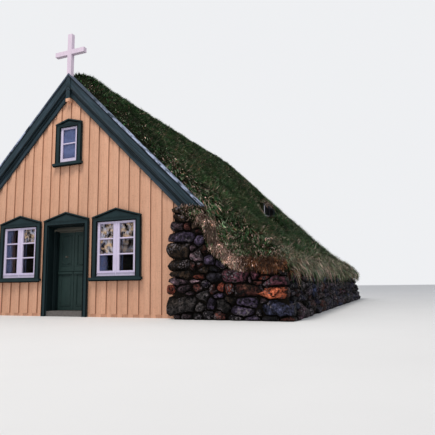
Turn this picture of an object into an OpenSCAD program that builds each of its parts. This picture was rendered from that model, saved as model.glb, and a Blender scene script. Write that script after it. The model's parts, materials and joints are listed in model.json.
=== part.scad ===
// Small turf house of the church kind: a boarded timber body between two thick
// walls of dry stone, under one roof of boards, rafters and growing turf.
// Millimetres. X runs across the house, the front looks towards -Y, Z is up.
// The origin lies on the ground under the middle of the house.
// Depths (d) are measured inwards from the outer face of the front cover boards.

/* [House] */
// Length over the stone walls, front to back
house_len = 9900; // [8900:50:11400]
// Width of the boarded timber gable
gable_w = 5000; // [4900:10:5200]
// Height of the underside of the roof boards at the ridge
ridge_z = 4850; // [4750:10:5000]
// Roof pitch in degrees
pitch = 45; // [43.5:0.25:46]
// How far the stone walls stand out in front of the boarding
wing_proj = 250; // [150:10:350]
// Height of the floor over the ground
floor_z = 100; // [60:5:160]

/* [Timber walls] */
// Thickness of the gable walls behind the cover boards
wall_t = 275; // [200:5:320]
// Height at which a gable stands on the walls below it
plate_z = 1860; // [1860:5:1900]
// Thickness of the panelled side walls
side_t = 100; // [60:5:140]
// Thickness of a cover board
cover_t = 25; // [18:1:30]
// Width of a cover board
cover_w = 112; // [90:1:140]
// Distance from one cover board to the next
cover_pitch = 240; // [200:1:280]
// Right edge of the middle cover board
cover_edge = 17; // [-50:1:60]
// Height of the lower ends of the cover boards
cover_foot = 60; // [20:5:120]

/* [Roof timber] */
// Thickness of the roof boards
sark_t = 35; // [25:1:45]
// Half width of the boarded roof
eaves_x = 3050; // [2960:10:3100]
// Depth of a rafter, square to the slope
rafter_h = 120; // [90:5:150]
// Width of a rafter
rafter_w = 80; // [60:5:100]
// Number of pairs of rafters
rafter_pairs = 8; // [7:1:9]
// Gap between an end rafter and its gable wall
rafter_end = 20; // [5:5:60]
// Width of the ridge beam
beam_w = 100; // [80:5:140]
// Height of the ridge beam at its sides
beam_h = 150; // [100:5:200]

/* [Verge] */
// Width of a barge board, square to the slope
barge_w = 187; // [160:1:210]
// Thickness of a barge board
barge_t = 32; // [24:1:40]
// Height of the barge board's top edge over the roof boards, square to the slope
barge_rise = 57; // [40:1:70]
// Width of the lower board that is set back under the barge board
frieze_w = 143; // [110:1:170]
// Lap of the barge board over the lower board
frieze_lap = 14; // [8:1:24]
// Thickness of the lower board
frieze_t = 30; // [20:1:38]
// Width of the shadow gap between the lower board and the barge board
verge_gap = 14; // [8:1:24]
// Thickness of the capping board on the verge
cap_t = 28; // [20:1:36]
// Width of the capping board
cap_w = 170; // [150:5:220]
// How far the capping reaches past the feet of the barge boards
cap_reach = 20; // [5:1:30]
// Overhang of the capping board in front of the barge board
cap_nose = 19; // [10:1:30]
// Height of the level cut at the lower ends of the verge boards
verge_foot = 1980; // [1970:5:2040]
// Width of the king piece at the apex
king_w = 100; // [80:2:120]
// Thickness of the king piece
king_t = 18; // [12:1:22]
// Length of the king piece under the point of the barge boards
king_len = 515; // [450:5:560]
// Height of the small pale block under the king piece
king_block_h = 65; // [40:5:90]

/* [Cross] */
// Height of the cross over the apex of the capping
cross_h = 880; // [700:10:1000]
// Width of the upright
cross_w = 105; // [80:1:120]
// Depth of both timbers
cross_t = 90; // [60:5:110]
// How far the cross stands behind the front edge of the capping
cross_set = 15; // [5:1:40]
// Full length of the arms
arm_len = 740; // [600:10:860]
// Height of the arms' timber
arm_h = 100; // [80:1:120]
// Height of the arms' middle over the apex of the capping
arm_z = 470; // [380:5:560]

/* [Door] */
// Half width of the clear opening between the linings
door_half = 449; // [430:1:470]
// Height of the underside of the head lining
door_top = 1809; // [1780:1:1810]
// Thickness of the lining
lining_t = 50; // [40:1:50]
// Width of the stop that the leaves close against
stop_w = 59; // [45:1:70]
// Height of the head stop
stop_head = 96; // [70:1:110]
// Depth of the outer face of the stop
stop_d = 180; // [120:5:190]
// Thickness of the stop
stop_t = 78; // [60:1:80]
// Width of the casing round the door
door_case_w = 110; // [90:1:130]
// Thickness of a leaf
leaf_t = 36; // [30:1:38]
// Gap round a leaf
leaf_gap = 5; // [5:0.5:8]
// Height of the leaves' lower edges over the floor
leaf_lift = 8; // [6:1:15]
// How far the leaves reach up behind the head stop
leaf_lap = 32; // [20:1:60]
// Depth of the sunk panels
panel_sink = 7; // [4:1:10]
// Width of the stiles of a leaf
leaf_stile = 66; // [50:1:90]
// Height of the top rail and of the bottom rail of a leaf
leaf_rail = [110, 90];
// Height of the middle rail's lower edge over the ground
lock_z = 830; // [780:5:880]
// Height of the middle rail
lock_h = 180; // [120:5:220]
// Height of the weather board across the middle rail
drip_h = 40; // [25:1:60]
// How far the weather board stands out from the leaf
drip_out = 24; // [12:1:30]
// Distance of the hinges from the ends of the leaves
hinge_in = 250; // [180:5:320]
// Radius of a hinge knuckle
knuckle_r = 6; // [5:0.5:6]
// Length of a hinge knuckle
knuckle_len = 70; // [50:5:90]
// Height of the knob over the ground
knob_z = 1190; // [1100:5:1300]
// Distance of the knob from the middle of the door
knob_x = 180; // [120:5:260]

/* [Windows] */
// Distance of a ground floor window from the middle of the gable
win_x = 1199; // [1160:1:1230]
// Half width of a ground floor window between its casings
win_half = 436; // [420:1:450]
// Height of the lower edge of the ground floor sashes
win_z = 775; // [740:1:800]
// Height of the ground floor sashes
win_h = 1045; // [1000:1:1060]
// Half width of the gable window between its casings
attic_half = 213; // [190:1:240]
// Height of the lower edge of the gable sash
attic_z = 3130; // [3080:5:3180]
// Height of the gable sash
attic_h = 735; // [680:5:780]
// Width of a window casing
case_w = 120; // [100:1:130]
// Thickness of the casings
case_t = 30; // [22:1:40]
// Height from a window's head to the shoulders of its casing
case_head = 105; // [80:1:130]
// Rise of the pointed head over its shoulders
case_peak = 155; // [100:1:180]
// The same height at the gable window
attic_head = 88; // [60:1:110]
// Rise of the gable window's pointed head over its shoulders
attic_peak = 91; // [60:1:120]
// Height of the crown moulding on the pointed heads
crown_h = 24; // [16:1:36]
// How far the crown moulding stands out from the casing
crown_out = 18; // [10:1:30]
// Height of the sill boards
sill_h = 50; // [35:1:60]
// Height of the casing that shows under the sashes
sill_drop = 25; // [10:1:30]
// How far the sill boards stand out from the cover boards
sill_out = 75; // [50:1:90]
// How far the sill boards reach past the casings at each end
sill_ear = 30; // [15:1:40]
// Width of a sash stile
stile_w = 54; // [45:1:60]
// Width of the bottom rail of a ground floor sash
rail_w = 98; // [60:1:110]
// Width of the bottom rail of the gable sash
attic_rail = 74; // [50:1:90]
// Width of the top rail of a sash
head_w = 40; // [35:1:60]
// Width of the two meeting stiles of a window
meeting_w = 143; // [110:1:160]
// Thickness of the sashes
sash_t = 45; // [35:1:55]
// How far the sashes stand in front of the cover boards' face
sash_proud = 5; // [0:1:12]
// Depth of the glass behind that face
glass_d = 15; // [8:1:20]
// Thickness of the glass
glass_t = 4; // [3:0.5:6]

/* [Stone walls] */
// Half width of the house at the foot of the stone walls
foot_x = 4700; // [4600:10:4850]
// How far the outer face leans in between its foot and its top
batter = 180; // [120:5:220]
// Height of the outer top edge of the stone walls
stone_z = 850; // [800:10:900]
// Lap of the stone wing in front of the boarding
wing_lap = 80; // [60:5:120]
// Length of the level stone top beside the gable
wing_flat = 150; // [100:5:200]
// How far the largest stones stand out of the walls
stone_proud = 40; // [20:1:50]
// How deep they are set into the walls
stone_seat = 60; // [30:10:150]
// Number of large foot stones along each side of the house
foot_stones = 10; // [8:1:11]

/* [Turf] */
// Thickness of the turf on the roof, square to the slope
turf_t = 318; // [260:5:360]
// Softness of the ridge
ridge_soft = 150; // [80:5:200]
// How far the turf hangs out past the top of the stone walls
turf_lip = 100; // [60:5:140]
// Height of the unevenness in the turf
turf_wave = 22; // [0:1:40]
// Height of the turf's rise over the roof window
turf_rise = 200; // [190:5:240]

/* [Roof window] */
// Distance of the roof window's face from the middle of the house
light_x = 2550; // [2530:5:2570]
// Depth of its near end behind the front boarding
light_d = 5380; // [5360:5:5400]
// Length of its timber box along the roof
light_len = 1120; // [1000:10:1140]
// Height of its sill
light_z = 2520; // [2490:5:2560]
// Height of the box's top
light_top = 2900; // [2860:5:2910]
// Depth of the box behind its face
light_back = 350; // [280:10:400]
// Thickness of the box's boards
light_t = 30; // [20:1:36]
// Width of the frame of its sash
light_frame = 45; // [30:1:60]
// Width of the clear ledge at each end in front of it
light_clear = 60; // [40:5:100]

/* [Hidden] */
$fn = 48;

slope = tan(pitch);
upright = 1 / cos(pitch);
half_w = gable_w / 2;
body_len = house_len - 2 * wing_proj;
face_y = -body_len / 2;
wall_back = cover_t + wall_t;

// Heights at the middle of the house of the planes that follow the slope
sark_c = ridge_z + sark_t * upright;
rafter_c = ridge_z - rafter_h * upright;
barge_c = sark_c + barge_rise * upright;
barge_low_c = barge_c - barge_w * upright;
frieze_c = barge_low_c + frieze_lap * upright;
frieze_low_c = frieze_c - frieze_w * upright;
cap_c = barge_c + cap_t * upright;
turf_c = sark_c + turf_t * upright;

// Depths of the verge boards
frieze_d = -frieze_t;
barge_d = frieze_d - verge_gap - barge_t;
barge_back_d = barge_d + barge_t;
cap_d = barge_d - cap_nose;
joint_gap = 1;
contact = 0.3;

function rake(c, x) = c - abs(x) * slope;
function mix(a, b, s) = a + (b - a) * s;

// Places a piece that is drawn by depth behind the front face
module place() translate([0, face_y, 0]) children();

// Turns a piece of the front end round to the back end
module at_back() translate([0, body_len, 0]) mirror([0, 1, 0]) children();

// Carries a flat shape, drawn as seen from the front, from depth d0 to d1
module carry(d0, d1) translate([0, d1, 0]) rotate([90, 0, 0]) linear_extrude(d1 - d0) children();

// Rectangle as seen from the front
module panel(x0, x1, z0, z1) translate([x0, z0]) square([x1 - x0, z1 - z0]);

// Band that follows the right slope between two planes, cut off upright
module slope_band(c0, c1, x0, x1)
    polygon([[x0, rake(c0, x0)], [x1, rake(c0, x1)], [x1, rake(c1, x1)], [x0, rake(c1, x0)]]);

// Verge board on the right slope with a level cut at its foot
module verge_band(c0, c1)
    polygon([[0, c0], [(c0 - verge_foot) / slope, verge_foot],
             [(c1 - verge_foot) / slope, verge_foot], [0, c1]]);

// The same flat shape on both slopes, with a fine joint at the middle
module both_slopes() for (side = [0, 1]) mirror([side, 0]) difference() {
    children();
    panel(-joint_gap, joint_gap / 2, 0, 2 * ridge_z);
}

/* Stone and turf: both are closed solids between an upper and a lower surface */

// Heights of the stone front against the distance from the gable's edge
WING_TOP = [[-120, 1925], [wing_flat, 1950], [550, 1600], [630, 1520], [700, 1210],
            [970, 960], [1150, 870], [2100, 820]];

// Rows of points behind the front end: depth past the stone walls' columns
STONE_ROWS = [-wing_proj, -0.7 * wing_proj, -0.35 * wing_proj, -1, 0, 120, 270, 450, 700, 1000];
// The same rows where the turf starts behind the barge boards
TURF_ROWS = [barge_back_d, 40, cap_d + cap_w, cap_d + cap_w + 2, 100, 150, 270, 450, 700, 1000];
// How far the stone, the turf over the stone and the turf over the roof have risen
STONE_RISE = [0, 0, 0, 0, 0, 0.22, 0.5, 0.8, 0.95, 1];
BANK_RISE = [0, 0.08, 0.2, 0.36, 0.38, 0.58, 0.78, 0.92, 0.98, 1];
TURF_RISE = [0, 0, 0, 0.2, 0.3, 0.5, 0.75, 0.92, 0.985, 1];
ENDS = len(STONE_ROWS);
MIDDLE = 9;
ROWS = 2 * ENDS + MIDDLE;

// Value of row i: the front list, evenly spaced rows, then the front list turned round
function row_depth(list, i) =
    i < ENDS ? list[i]
    : i >= ENDS + MIDDLE ? body_len - list[ROWS - 1 - i]
    : mix(list[ENDS - 1], body_len - list[ENDS - 1], (i - ENDS + 1) / (MIDDLE + 1));
function row_rise(list, i) =
    i < ENDS ? list[i] : i >= ENDS + MIDDLE ? list[ROWS - 1 - i] : 1;

top_x = foot_x - batter;
function wing_top(x) = lookup(x - half_w, WING_TOP);
function inner_top(x) = x <= eaves_x ? rake(ridge_z, x)
    : mix(rake(ridge_z, eaves_x), stone_z, (x - eaves_x) / (top_x - eaves_x));
function stone_top(x, i) = mix(wing_top(x), inner_top(x), row_rise(STONE_RISE, i));

// Columns across the stone wall's top, from its inner to its outer edge
BANK_X = concat([for (f = [0.05, 0.1, 0.28, 0.42, 0.6, 0.8]) mix(eaves_x, top_x, f)], [top_x]);
STONE_X = concat([half_w, half_w + wing_flat, eaves_x, eaves_x + 2], BANK_X);

// Joins an upper and a lower net of points into one closed solid
module mantle(top, low) {
    rows = len(top);
    cols = len(top[0]);
    n = rows * cols;
    function at(i, j) = i * cols + j;
    polyhedron(
        points = concat([for (r = top) each r], [for (r = low) each r]),
        faces = concat(
            [for (i = [0 : rows - 2], j = [0 : cols - 2]) each [
                [at(i, j), at(i + 1, j), at(i + 1, j + 1)],
                [at(i, j), at(i + 1, j + 1), at(i, j + 1)],
                [n + at(i, j), n + at(i + 1, j + 1), n + at(i + 1, j)],
                [n + at(i, j), n + at(i, j + 1), n + at(i + 1, j + 1)]]],
            [for (i = [0 : rows - 2], j = [0, cols - 1]) let (
                a = at(i, j), b = at(i + 1, j), near = j == 0) each [
                near ? [a, n + b, b] : [a, b, n + b],
                near ? [a, n + a, n + b] : [a, n + b, n + a]]],
            [for (j = [0 : cols - 2], i = [0, rows - 1]) let (
                a = at(i, j), b = at(i, j + 1), near = i == 0) each [
                near ? [a, b, n + b] : [a, n + b, b],
                near ? [a, n + b, n + a] : [a, n + a, n + b]]]),
        convexity = 8);
}

// Right stone wall: level foot, leaning outer face, top that dips to the wings
module stone_bank() {
    function inner_x(i, x) = x > half_w ? x
        : row_depth(STONE_ROWS, i) < 0 || row_depth(STONE_ROWS, i) > body_len ? x - wing_lap : x;
    top = [for (i = [0 : ROWS - 1]) [for (x = STONE_X)
        [inner_x(i, x), row_depth(STONE_ROWS, i), stone_top(x, i)]]];
    low = [for (i = [0 : ROWS - 1]) [for (x = STONE_X)
        [x == top_x ? foot_x : inner_x(i, x), row_depth(STONE_ROWS, i), 0]]];
    mantle(top, low);
}

// Largest stones of a wing: distance of the middle from the gable's edge, height of the
// middle over the ground, width and height
WING_STONES = [
    [170, 1430, 420, 150], [160, 1100, 380, 150], [490, 1080, 250, 210],
    [800, 720, 250, 200], [1180, 710, 460, 220], [1850, 620, 400, 150],
    [220, 530, 320, 150], [790, 510, 340, 200], [1380, 500, 410, 220],
    [1840, 430, 450, 190], [1390, 300, 410, 180], [210, 250, 500, 280],
    [1890, 200, 550, 230]
];
// The same along a side, used in turn: distance up the leaning face, width and height
SIDE_STONES = [[160, 620, 270], [180, 470, 310], [150, 560, 240]];
UPPER_STONES = [[520, 440, 230], [560, 520, 200], [500, 360, 260]];

// Large stone of width w and height h that stands out of the plane z = 0: rings of n points,
// each with its level and its share of the full size
module big_stone(w, h) {
    n = 8;
    rings = [[-stone_seat, 1], [0, 1], [stone_proud, 0.7]];
    top = len(rings) - 1;
    polyhedron(
        points = [for (r = rings, k = [0 : n - 1]) let (turn = (k + 0.5) * 360 / n)
            [r[1] * w / 2 * cos(turn), r[1] * h / 2 * sin(turn), r[0]]],
        faces = concat(
            [[for (k = [0 : n - 1]) k], [for (k = [n - 1 : -1 : 0]) top * n + k]],
            [for (i = [0 : top - 1], k = [0 : n - 1])
                [i * n + k, (i + 1) * n + k, (i + 1) * n + (k + 1) % n, i * n + (k + 1) % n]]));
}

module wing_stones() for (s = WING_STONES)
    translate([half_w + s[0], -wing_proj, s[1]]) rotate([90, 0, 0]) big_stone(s[2], s[3]);

// A large stone of the leaning side face with its middle at depth d
module side_stone(d, s) translate([foot_x, d, 0]) rotate([0, -atan(batter / stone_z), 0])
    rotate([90, 0, 90]) translate([0, s[0], 0]) big_stone(s[1], s[2]);

foot_pitch = body_len / foot_stones;
module side_stones() {
    for (k = [0 : foot_stones - 1])
        side_stone((k + 0.5) * foot_pitch, SIDE_STONES[k % len(SIDE_STONES)]);
    for (k = [1 : foot_stones - 1])
        side_stone(k * foot_pitch, UPPER_STONES[k % len(UPPER_STONES)]);
}

// Stone wall with its largest stones on both wings and on the long side
module stone_wall() {
    stone_bank();
    wing_stones();
    at_back() wing_stones();
    side_stones();
}

// Columns across the turf, from the ridge to its lip
ROOF_X = [for (f = [0, 0.04, 0.1, 0.23, 0.38, 0.52, 0.67, 0.82, 0.92, 1]) f * eaves_x];
TURF_X = concat(ROOF_X, [eaves_x + 2], BANK_X, [top_x + 0.6 * turf_lip, top_x + turf_lip]);

// Rounded rise of the turf over the roof window, 0 at its rim
function hump(x, d) = let (
    across = (x - light_x + light_back / 2) / (2 * light_back),
    along = (d - light_d - light_len / 2) / light_len)
    turf_rise * max(0, 1 - across * across) * max(0, 1 - along * along);
function wave(x, i) = turf_wave * sin(i * 67 + x / 9) * sin(i * 31 + x / 23) * row_rise(TURF_RISE, i);
function full_top(x) =
    turf_c - sqrt(pow(x * slope, 2) + pow(ridge_soft, 2)) + 0.09 * pow(max(0, x - eaves_x + 50), 2) / 1000;
function roof_top(x, i) = let (s = row_rise(TURF_RISE, i))
    mix(barge_c, turf_c, s) - sqrt(pow(x * slope, 2) + pow(ridge_soft * s, 2));
function bank_top(x, i) = let (
    lip = max(0, x - top_x) / turf_lip,
    edge = mix(wing_top(min(x, top_x)) + 70, full_top(x), row_rise(BANK_RISE, i)))
    edge - 110 * lip * lip;
function turf_top(x, i) = (x <= eaves_x ? roof_top(x, i) : bank_top(x, i)) + wave(x, i);
function turf_row(x, i) = row_depth(x <= eaves_x ? TURF_ROWS : STONE_ROWS, i);
function turf_low(x, i) = x <= eaves_x ? rake(sark_c, x)
    : x <= top_x ? stone_top(x, i)
    : stone_top(top_x, i) - 0.35 * (x - top_x);

// Right half of the turf, lying on the roof boards and on the stone wall
module turf_half(rise = 0) {
    top = [for (i = [0 : ROWS - 1]) [for (x = TURF_X) let (d = turf_row(x, i))
        [x, d, turf_top(x, i) + rise * hump(x, d)]]];
    low = [for (i = [0 : ROWS - 1]) [for (x = TURF_X) [x, turf_row(x, i), turf_low(x, i)]]];
    mantle(top, low);
    verge_tuft();
    at_back() verge_tuft();
}

// Turf on the top of a stone wing, packed up to the feet of the verge boards
TUFT_X = [half_w + wing_flat, mix(half_w + wing_flat, eaves_x, 0.5), eaves_x, BANK_X[0]];
TUFT_D = [-0.95 * wing_proj, -0.75 * wing_proj, -0.5 * wing_proj, barge_back_d];
TUFT_RISE = [0.15, 0.7, 1, 1];
module verge_tuft() {
    crest = verge_foot - cap_reach * slope - contact;
    top = [for (i = [0 : 3]) [for (x = TUFT_X) [x, TUFT_D[i], mix(wing_top(x), crest, TUFT_RISE[i])]]];
    low = [for (i = [0 : 3]) [for (x = TUFT_X) [x, TUFT_D[i], wing_top(x)]]];
    mantle(top, low);
}

// Well that is cut through the turf for the roof window
module light_well() {
    foot = rake(sark_c, light_x) - light_t;
    translate([light_x - light_back - contact, light_d - contact, foot])
        cube([light_back + 2 * contact, light_len + 2 * contact, light_top - foot + contact]);
    translate([light_x, light_d - light_clear, light_z])
        cube([2 * light_back, light_len + 2 * light_clear, 2 * light_back]);
}

module stone_wall_left() color("dimgray") place() mirror([1, 0, 0]) stone_wall();
module stone_wall_right() color("dimgray") place() stone_wall();
module turf_left() color("darkolivegreen") place() mirror([1, 0, 0]) turf_half();
module turf_right() color("darkolivegreen") place() difference() {
    turf_half(1);
    light_well();
}

/* Roof timber */

module roof_slab() carry(barge_back_d, body_len - barge_back_d)
    slope_band(ridge_z, sark_c, 0, eaves_x);

module roof_boards_left() color("saddlebrown") place() mirror([1, 0, 0]) roof_slab();
module roof_boards_right() color("saddlebrown") place() difference() {
    roof_slab();
    translate([light_x - light_back + light_t, light_d + light_t, 0])
        cube([light_back - 2 * light_t, light_len - 2 * light_t, ridge_z]);
}

// Pairs of rafters from gable to gable, each pair halved together at the ridge
rafter_d = wall_back + rafter_end;
rafter_pitch = (body_len - 2 * rafter_d - rafter_w) / (rafter_pairs - 1);
module rafters() color("peru") place()
    for (k = [0 : rafter_pairs - 1]) let (d = rafter_d + k * rafter_pitch)
        carry(d, d + rafter_w) for (side = [0, 1]) mirror([side, 0])
            slope_band(rafter_c, ridge_z, 0, half_w);

module ridge_beam() color("peru") place() carry(wall_back, body_len - wall_back)
    polygon([[-beam_w / 2, rake(rafter_c, beam_w / 2) - beam_h],
             [beam_w / 2, rake(rafter_c, beam_w / 2) - beam_h],
             [beam_w / 2, rake(rafter_c, beam_w / 2)], [0, rafter_c],
             [-beam_w / 2, rake(rafter_c, beam_w / 2)]]);

/* Timber walls */

door_rough = door_half + lining_t;

module window_hole() translate([win_x - win_half, win_z]) square([2 * win_half, win_h]);
module attic_hole() translate([-attic_half, attic_z]) square([2 * attic_half, attic_h]);

// Lower wall on the right of the front, from the doorway to the corner
module wall_beside(x0) carry(cover_t, wall_back) difference() {
    panel(x0, half_w, 0, plate_z);
    window_hole();
}

module gable_wall() carry(cover_t, wall_back) difference() {
    polygon([[-half_w, plate_z], [half_w, plate_z], [half_w, rake(ridge_z, half_w)],
             [0, ridge_z], [-half_w, rake(ridge_z, half_w)]]);
    attic_hole();
}

// Cover boards, cut to the gable and round its openings
module cover_boards(door) carry(0, cover_t) difference() {
    intersection() {
        polygon([[-half_w, cover_foot], [half_w, cover_foot], [half_w, rake(ridge_z, half_w)],
                 [0, ridge_z], [-half_w, rake(ridge_z, half_w)]]);
        for (k = [-ceil(half_w / cover_pitch) : ceil(half_w / cover_pitch)])
            panel(cover_edge + k * cover_pitch - cover_w, cover_edge + k * cover_pitch, 0, ridge_z);
    }
    window_hole();
    mirror([1, 0]) window_hole();
    attic_hole();
    if (door) panel(-door_rough, door_rough, 0, plate_z);
}

module front_wall_left() color("wheat") place() mirror([1, 0, 0]) wall_beside(door_rough);
module front_wall_right() color("wheat") place() wall_beside(door_rough);
module front_gable() color("wheat") place() gable_wall();
module front_boards() color("navajowhite") place() cover_boards(true);
module back_wall_left() color("wheat") place() at_back() mirror([1, 0, 0]) wall_beside(0);
module back_wall_right() color("wheat") place() at_back() wall_beside(0);
module back_gable() color("wheat") place() at_back() gable_wall();
module back_boards() color("navajowhite") place() at_back() cover_boards(false);

// Panelled wall inside the stone wall, its top cut to the slope under the rafters
module side_wall() carry(wall_back, body_len - wall_back)
    polygon([[half_w - side_t, 0], [half_w, 0], [half_w, rake(rafter_c, half_w)],
             [half_w - side_t, rake(rafter_c, half_w - side_t)]]);

module side_wall_left() color("burlywood") place() mirror([1, 0, 0]) side_wall();
module side_wall_right() color("burlywood") place() side_wall();
module floor() color("tan") place() carry(wall_back, body_len - wall_back)
    panel(side_t - half_w, half_w - side_t, 0, floor_z);

/* Verge boards, king piece and cross */

module front_barge_left() color("darkslategray") place() mirror([1, 0, 0])
    carry(barge_d, barge_back_d) verge_band(barge_low_c, barge_c);
module front_barge_right() color("darkslategray") place()
    carry(barge_d, barge_back_d) verge_band(barge_low_c, barge_c);

module frieze_pair() carry(frieze_d, 0) both_slopes() verge_band(frieze_low_c, frieze_c);
module capping_pair() carry(cap_d, cap_d + cap_w) both_slopes()
    slope_band(barge_c, cap_c, 0, (barge_c - verge_foot) / slope + cap_reach);

module front_frieze() color("darkslategray") place() frieze_pair();
module front_capping() color("slategray") place() capping_pair();
module back_barge() color("darkslategray") place() at_back()
    carry(barge_d, barge_back_d) both_slopes() verge_band(barge_low_c, barge_c);
module back_frieze() color("darkslategray") place() at_back() frieze_pair();
module back_capping() color("slategray") place() at_back() capping_pair();

king_foot = barge_c - king_len;
module king_piece() color("darkslategray") place() carry(barge_d - king_t, barge_d)
    polygon([[-king_w / 2, king_foot], [king_w / 2, king_foot],
             [king_w / 2, rake(barge_c, king_w / 2)], [0, barge_c],
             [-king_w / 2, rake(barge_c, king_w / 2)]]);
module king_block() color("navajowhite") place() carry(barge_d - king_t, 0)
    panel(-king_w / 2, king_w / 2, king_foot - king_block_h, king_foot);

// Upright notched over the capping, with the arms in one plane
cross_d = cap_d + cross_set;
module cross() color("white") place() carry(cross_d, cross_d + cross_t) union() {
    polygon([[-cross_w / 2, rake(cap_c, cross_w / 2)], [0, cap_c],
             [cross_w / 2, rake(cap_c, cross_w / 2)],
             [cross_w / 2, cap_c + cross_h], [-cross_w / 2, cap_c + cross_h]]);
    panel(-arm_len / 2, arm_len / 2, cap_c + arm_z - arm_h / 2, cap_c + arm_z + arm_h / 2);
}

/* Door */

leaf_d = stop_d + stop_t + leaf_gap;
leaf_back = leaf_d + leaf_t;
pin_d = wall_back + knuckle_r + 1;
leaf_low = floor_z + leaf_lift;
leaf_high = door_top - stop_head + leaf_lap;
hinge_heights = [leaf_low + hinge_in, leaf_high - hinge_in - knuckle_len];

// Casing with a pointed head and its crown moulding, cut out for the opening [z0, z1]
module pointed_case(half, foot, shoulder, peak, width, opening) {
    side = half + width;
    carry(-case_t, 0) difference() {
        polygon([[-side, foot], [side, foot], [side, shoulder], [0, shoulder + peak], [-side, shoulder]]);
        panel(-half, half, opening[0], opening[1]);
    }
    carry(-case_t - crown_out, -case_t)
        polygon([[side, shoulder - crown_h], [side, shoulder], [0, shoulder + peak], [-side, shoulder],
                 [-side, shoulder - crown_h], [0, shoulder + peak - crown_h]]);
}

door_shoulder = win_z + win_h + case_head;
module door_casing() color("darkslategray") place()
    pointed_case(door_half, 0, door_shoulder, case_peak, door_case_w, [-1, door_top]);

// Lining with the stop that the leaves close against
module door_frame() color("darkslategray") place() difference() {
    carry(0, wall_back) panel(-door_rough, door_rough, 0, plate_z);
    carry(-1, stop_d) panel(-door_half, door_half, -1, door_top);
    carry(stop_d + stop_t, wall_back + 1) panel(-door_half, door_half, -1, door_top);
    carry(stop_d - 1, stop_d + stop_t + 1)
        panel(stop_w - door_half, door_half - stop_w, -1, door_top - stop_head);
}

module threshold() color("gray") place() union() {
    carry(0, stop_d) panel(-door_half, door_half, 0, floor_z);
    carry(stop_d, stop_d + stop_t) panel(stop_w - door_half, door_half - stop_w, 0, floor_z);
    carry(stop_d + stop_t, wall_back) panel(-door_half, door_half, 0, floor_z);
}

panel_x0 = leaf_gap + leaf_stile;
panel_x1 = door_half - stop_w - leaf_stile;
lock_top = lock_z + lock_h;

// Right leaf: frame with two sunk panels, weather rail and its hinge halves
module door_leaf() {
    difference() {
        carry(leaf_d, leaf_back) panel(leaf_gap, door_half - leaf_gap, leaf_low, leaf_high);
        for (d = [leaf_d - 1, leaf_back - panel_sink]) carry(d, d + panel_sink + 1) {
            panel(panel_x0, panel_x1, lock_top, leaf_high - leaf_rail[0]);
            panel(panel_x0, panel_x1, leaf_low + leaf_rail[1], lock_z);
        }
    }
    carry(leaf_d - drip_out, leaf_d)
        panel(2 * leaf_gap, door_half - stop_w - leaf_gap, lock_z + drip_h / 4, lock_z + 1.25 * drip_h);
    for (z = hinge_heights) {
        translate([door_half, pin_d, z]) cylinder(r = knuckle_r, h = knuckle_len);
        translate([door_half - lining_t, leaf_back, z])
            cube([lining_t - leaf_gap, pin_d - leaf_back, knuckle_len]);
    }
}

module door_leaf_left() color("darkslategray") place() mirror([1, 0, 0]) door_leaf();
module door_leaf_right() color("darkslategray") place() door_leaf();

// Hinge halves on the end of the lining, under the leaves' knuckles
module door_hinges() color("dimgray") place() for (side = [0, 1], z = hinge_heights)
    mirror([side, 0, 0]) {
        translate([door_half, pin_d, z - knuckle_len - contact])
            cylinder(r = knuckle_r, h = knuckle_len);
        translate([door_half + leaf_gap - 1, wall_back, z - knuckle_len - contact])
            cube([lining_t - leaf_gap + 1, knuckle_r, knuckle_len]);
    }

module door_knob() color("silver") place()
    translate([-knob_x, leaf_d + panel_sink, knob_z]) rotate([90, 0, 0]) rotate_extrude()
        polygon([[0, 0], [20, 0], [20, 4], [8, 4], [8, 24], [15, 28], [17, 36], [13, 45], [0, 45]]);

/* Windows */

// Casing and sill of one window, standing on the cover boards
module window_case(half, z0, h, head, peak) {
    sill_top = z0 - sill_drop;
    pointed_case(half, sill_top, z0 + h + head, peak, case_w, [z0, z0 + h]);
    carry(-sill_out, 0)
        panel(-half - case_w - sill_ear, half + case_w + sill_ear, sill_top - sill_h, sill_top);
}

// Sash frame with its lights as a list of [x0, x1] over the bottom rail
module window_sash(half, z0, h, rail, lights) carry(-sash_proud, sash_t - sash_proud) difference() {
    panel(-half, half, z0, z0 + h);
    sash_lights(z0, h, rail, lights);
}

module sash_lights(z0, h, rail, lights)
    for (l = lights) panel(l[0], l[1], z0 + rail, z0 + h - head_w);

module window_pane(z0, h, rail, lights) carry(glass_d, glass_d + glass_t)
    sash_lights(z0, h, rail, lights);

WIN_LIGHTS = [[stile_w - win_half, -meeting_w / 2], [meeting_w / 2, win_half - stile_w]];
ATTIC_LIGHTS = [[stile_w - attic_half, attic_half - stile_w]];

// Puts the ground floor kind on both sides and the gable kind over them
module three_windows() {
    for (side = [-1, 1]) translate([side * win_x, 0, 0]) children(0);
    children(1);
}
module casings() three_windows() {
    window_case(win_half, win_z, win_h, case_head, case_peak);
    window_case(attic_half, attic_z, attic_h, attic_head, attic_peak);
}
module sashes() three_windows() {
    window_sash(win_half, win_z, win_h, rail_w, WIN_LIGHTS);
    window_sash(attic_half, attic_z, attic_h, attic_rail, ATTIC_LIGHTS);
}
module panes() three_windows() {
    window_pane(win_z, win_h, rail_w, WIN_LIGHTS);
    window_pane(attic_z, attic_h, attic_rail, ATTIC_LIGHTS);
}

module window_casings() color("darkslategray") place() casings();
module window_sashes() color("white") place() sashes();
module window_glass() color("lightsteelblue", 0.5) place() panes();
module back_window_casings() color("darkslategray") place() at_back() casings();
module back_window_sashes() color("white") place() at_back() sashes();
module back_window_glass() color("lightsteelblue", 0.5) place() at_back() panes();

/* Roof window */

light_in = light_x - light_back;

// Flat side of the window box, from the roof boards up to its top
module light_cheek() polygon([[light_in, rake(sark_c, light_in)], [light_x, rake(sark_c, light_x)],
    [light_x, light_top - light_t], [light_in, light_top - light_t]]);

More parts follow.
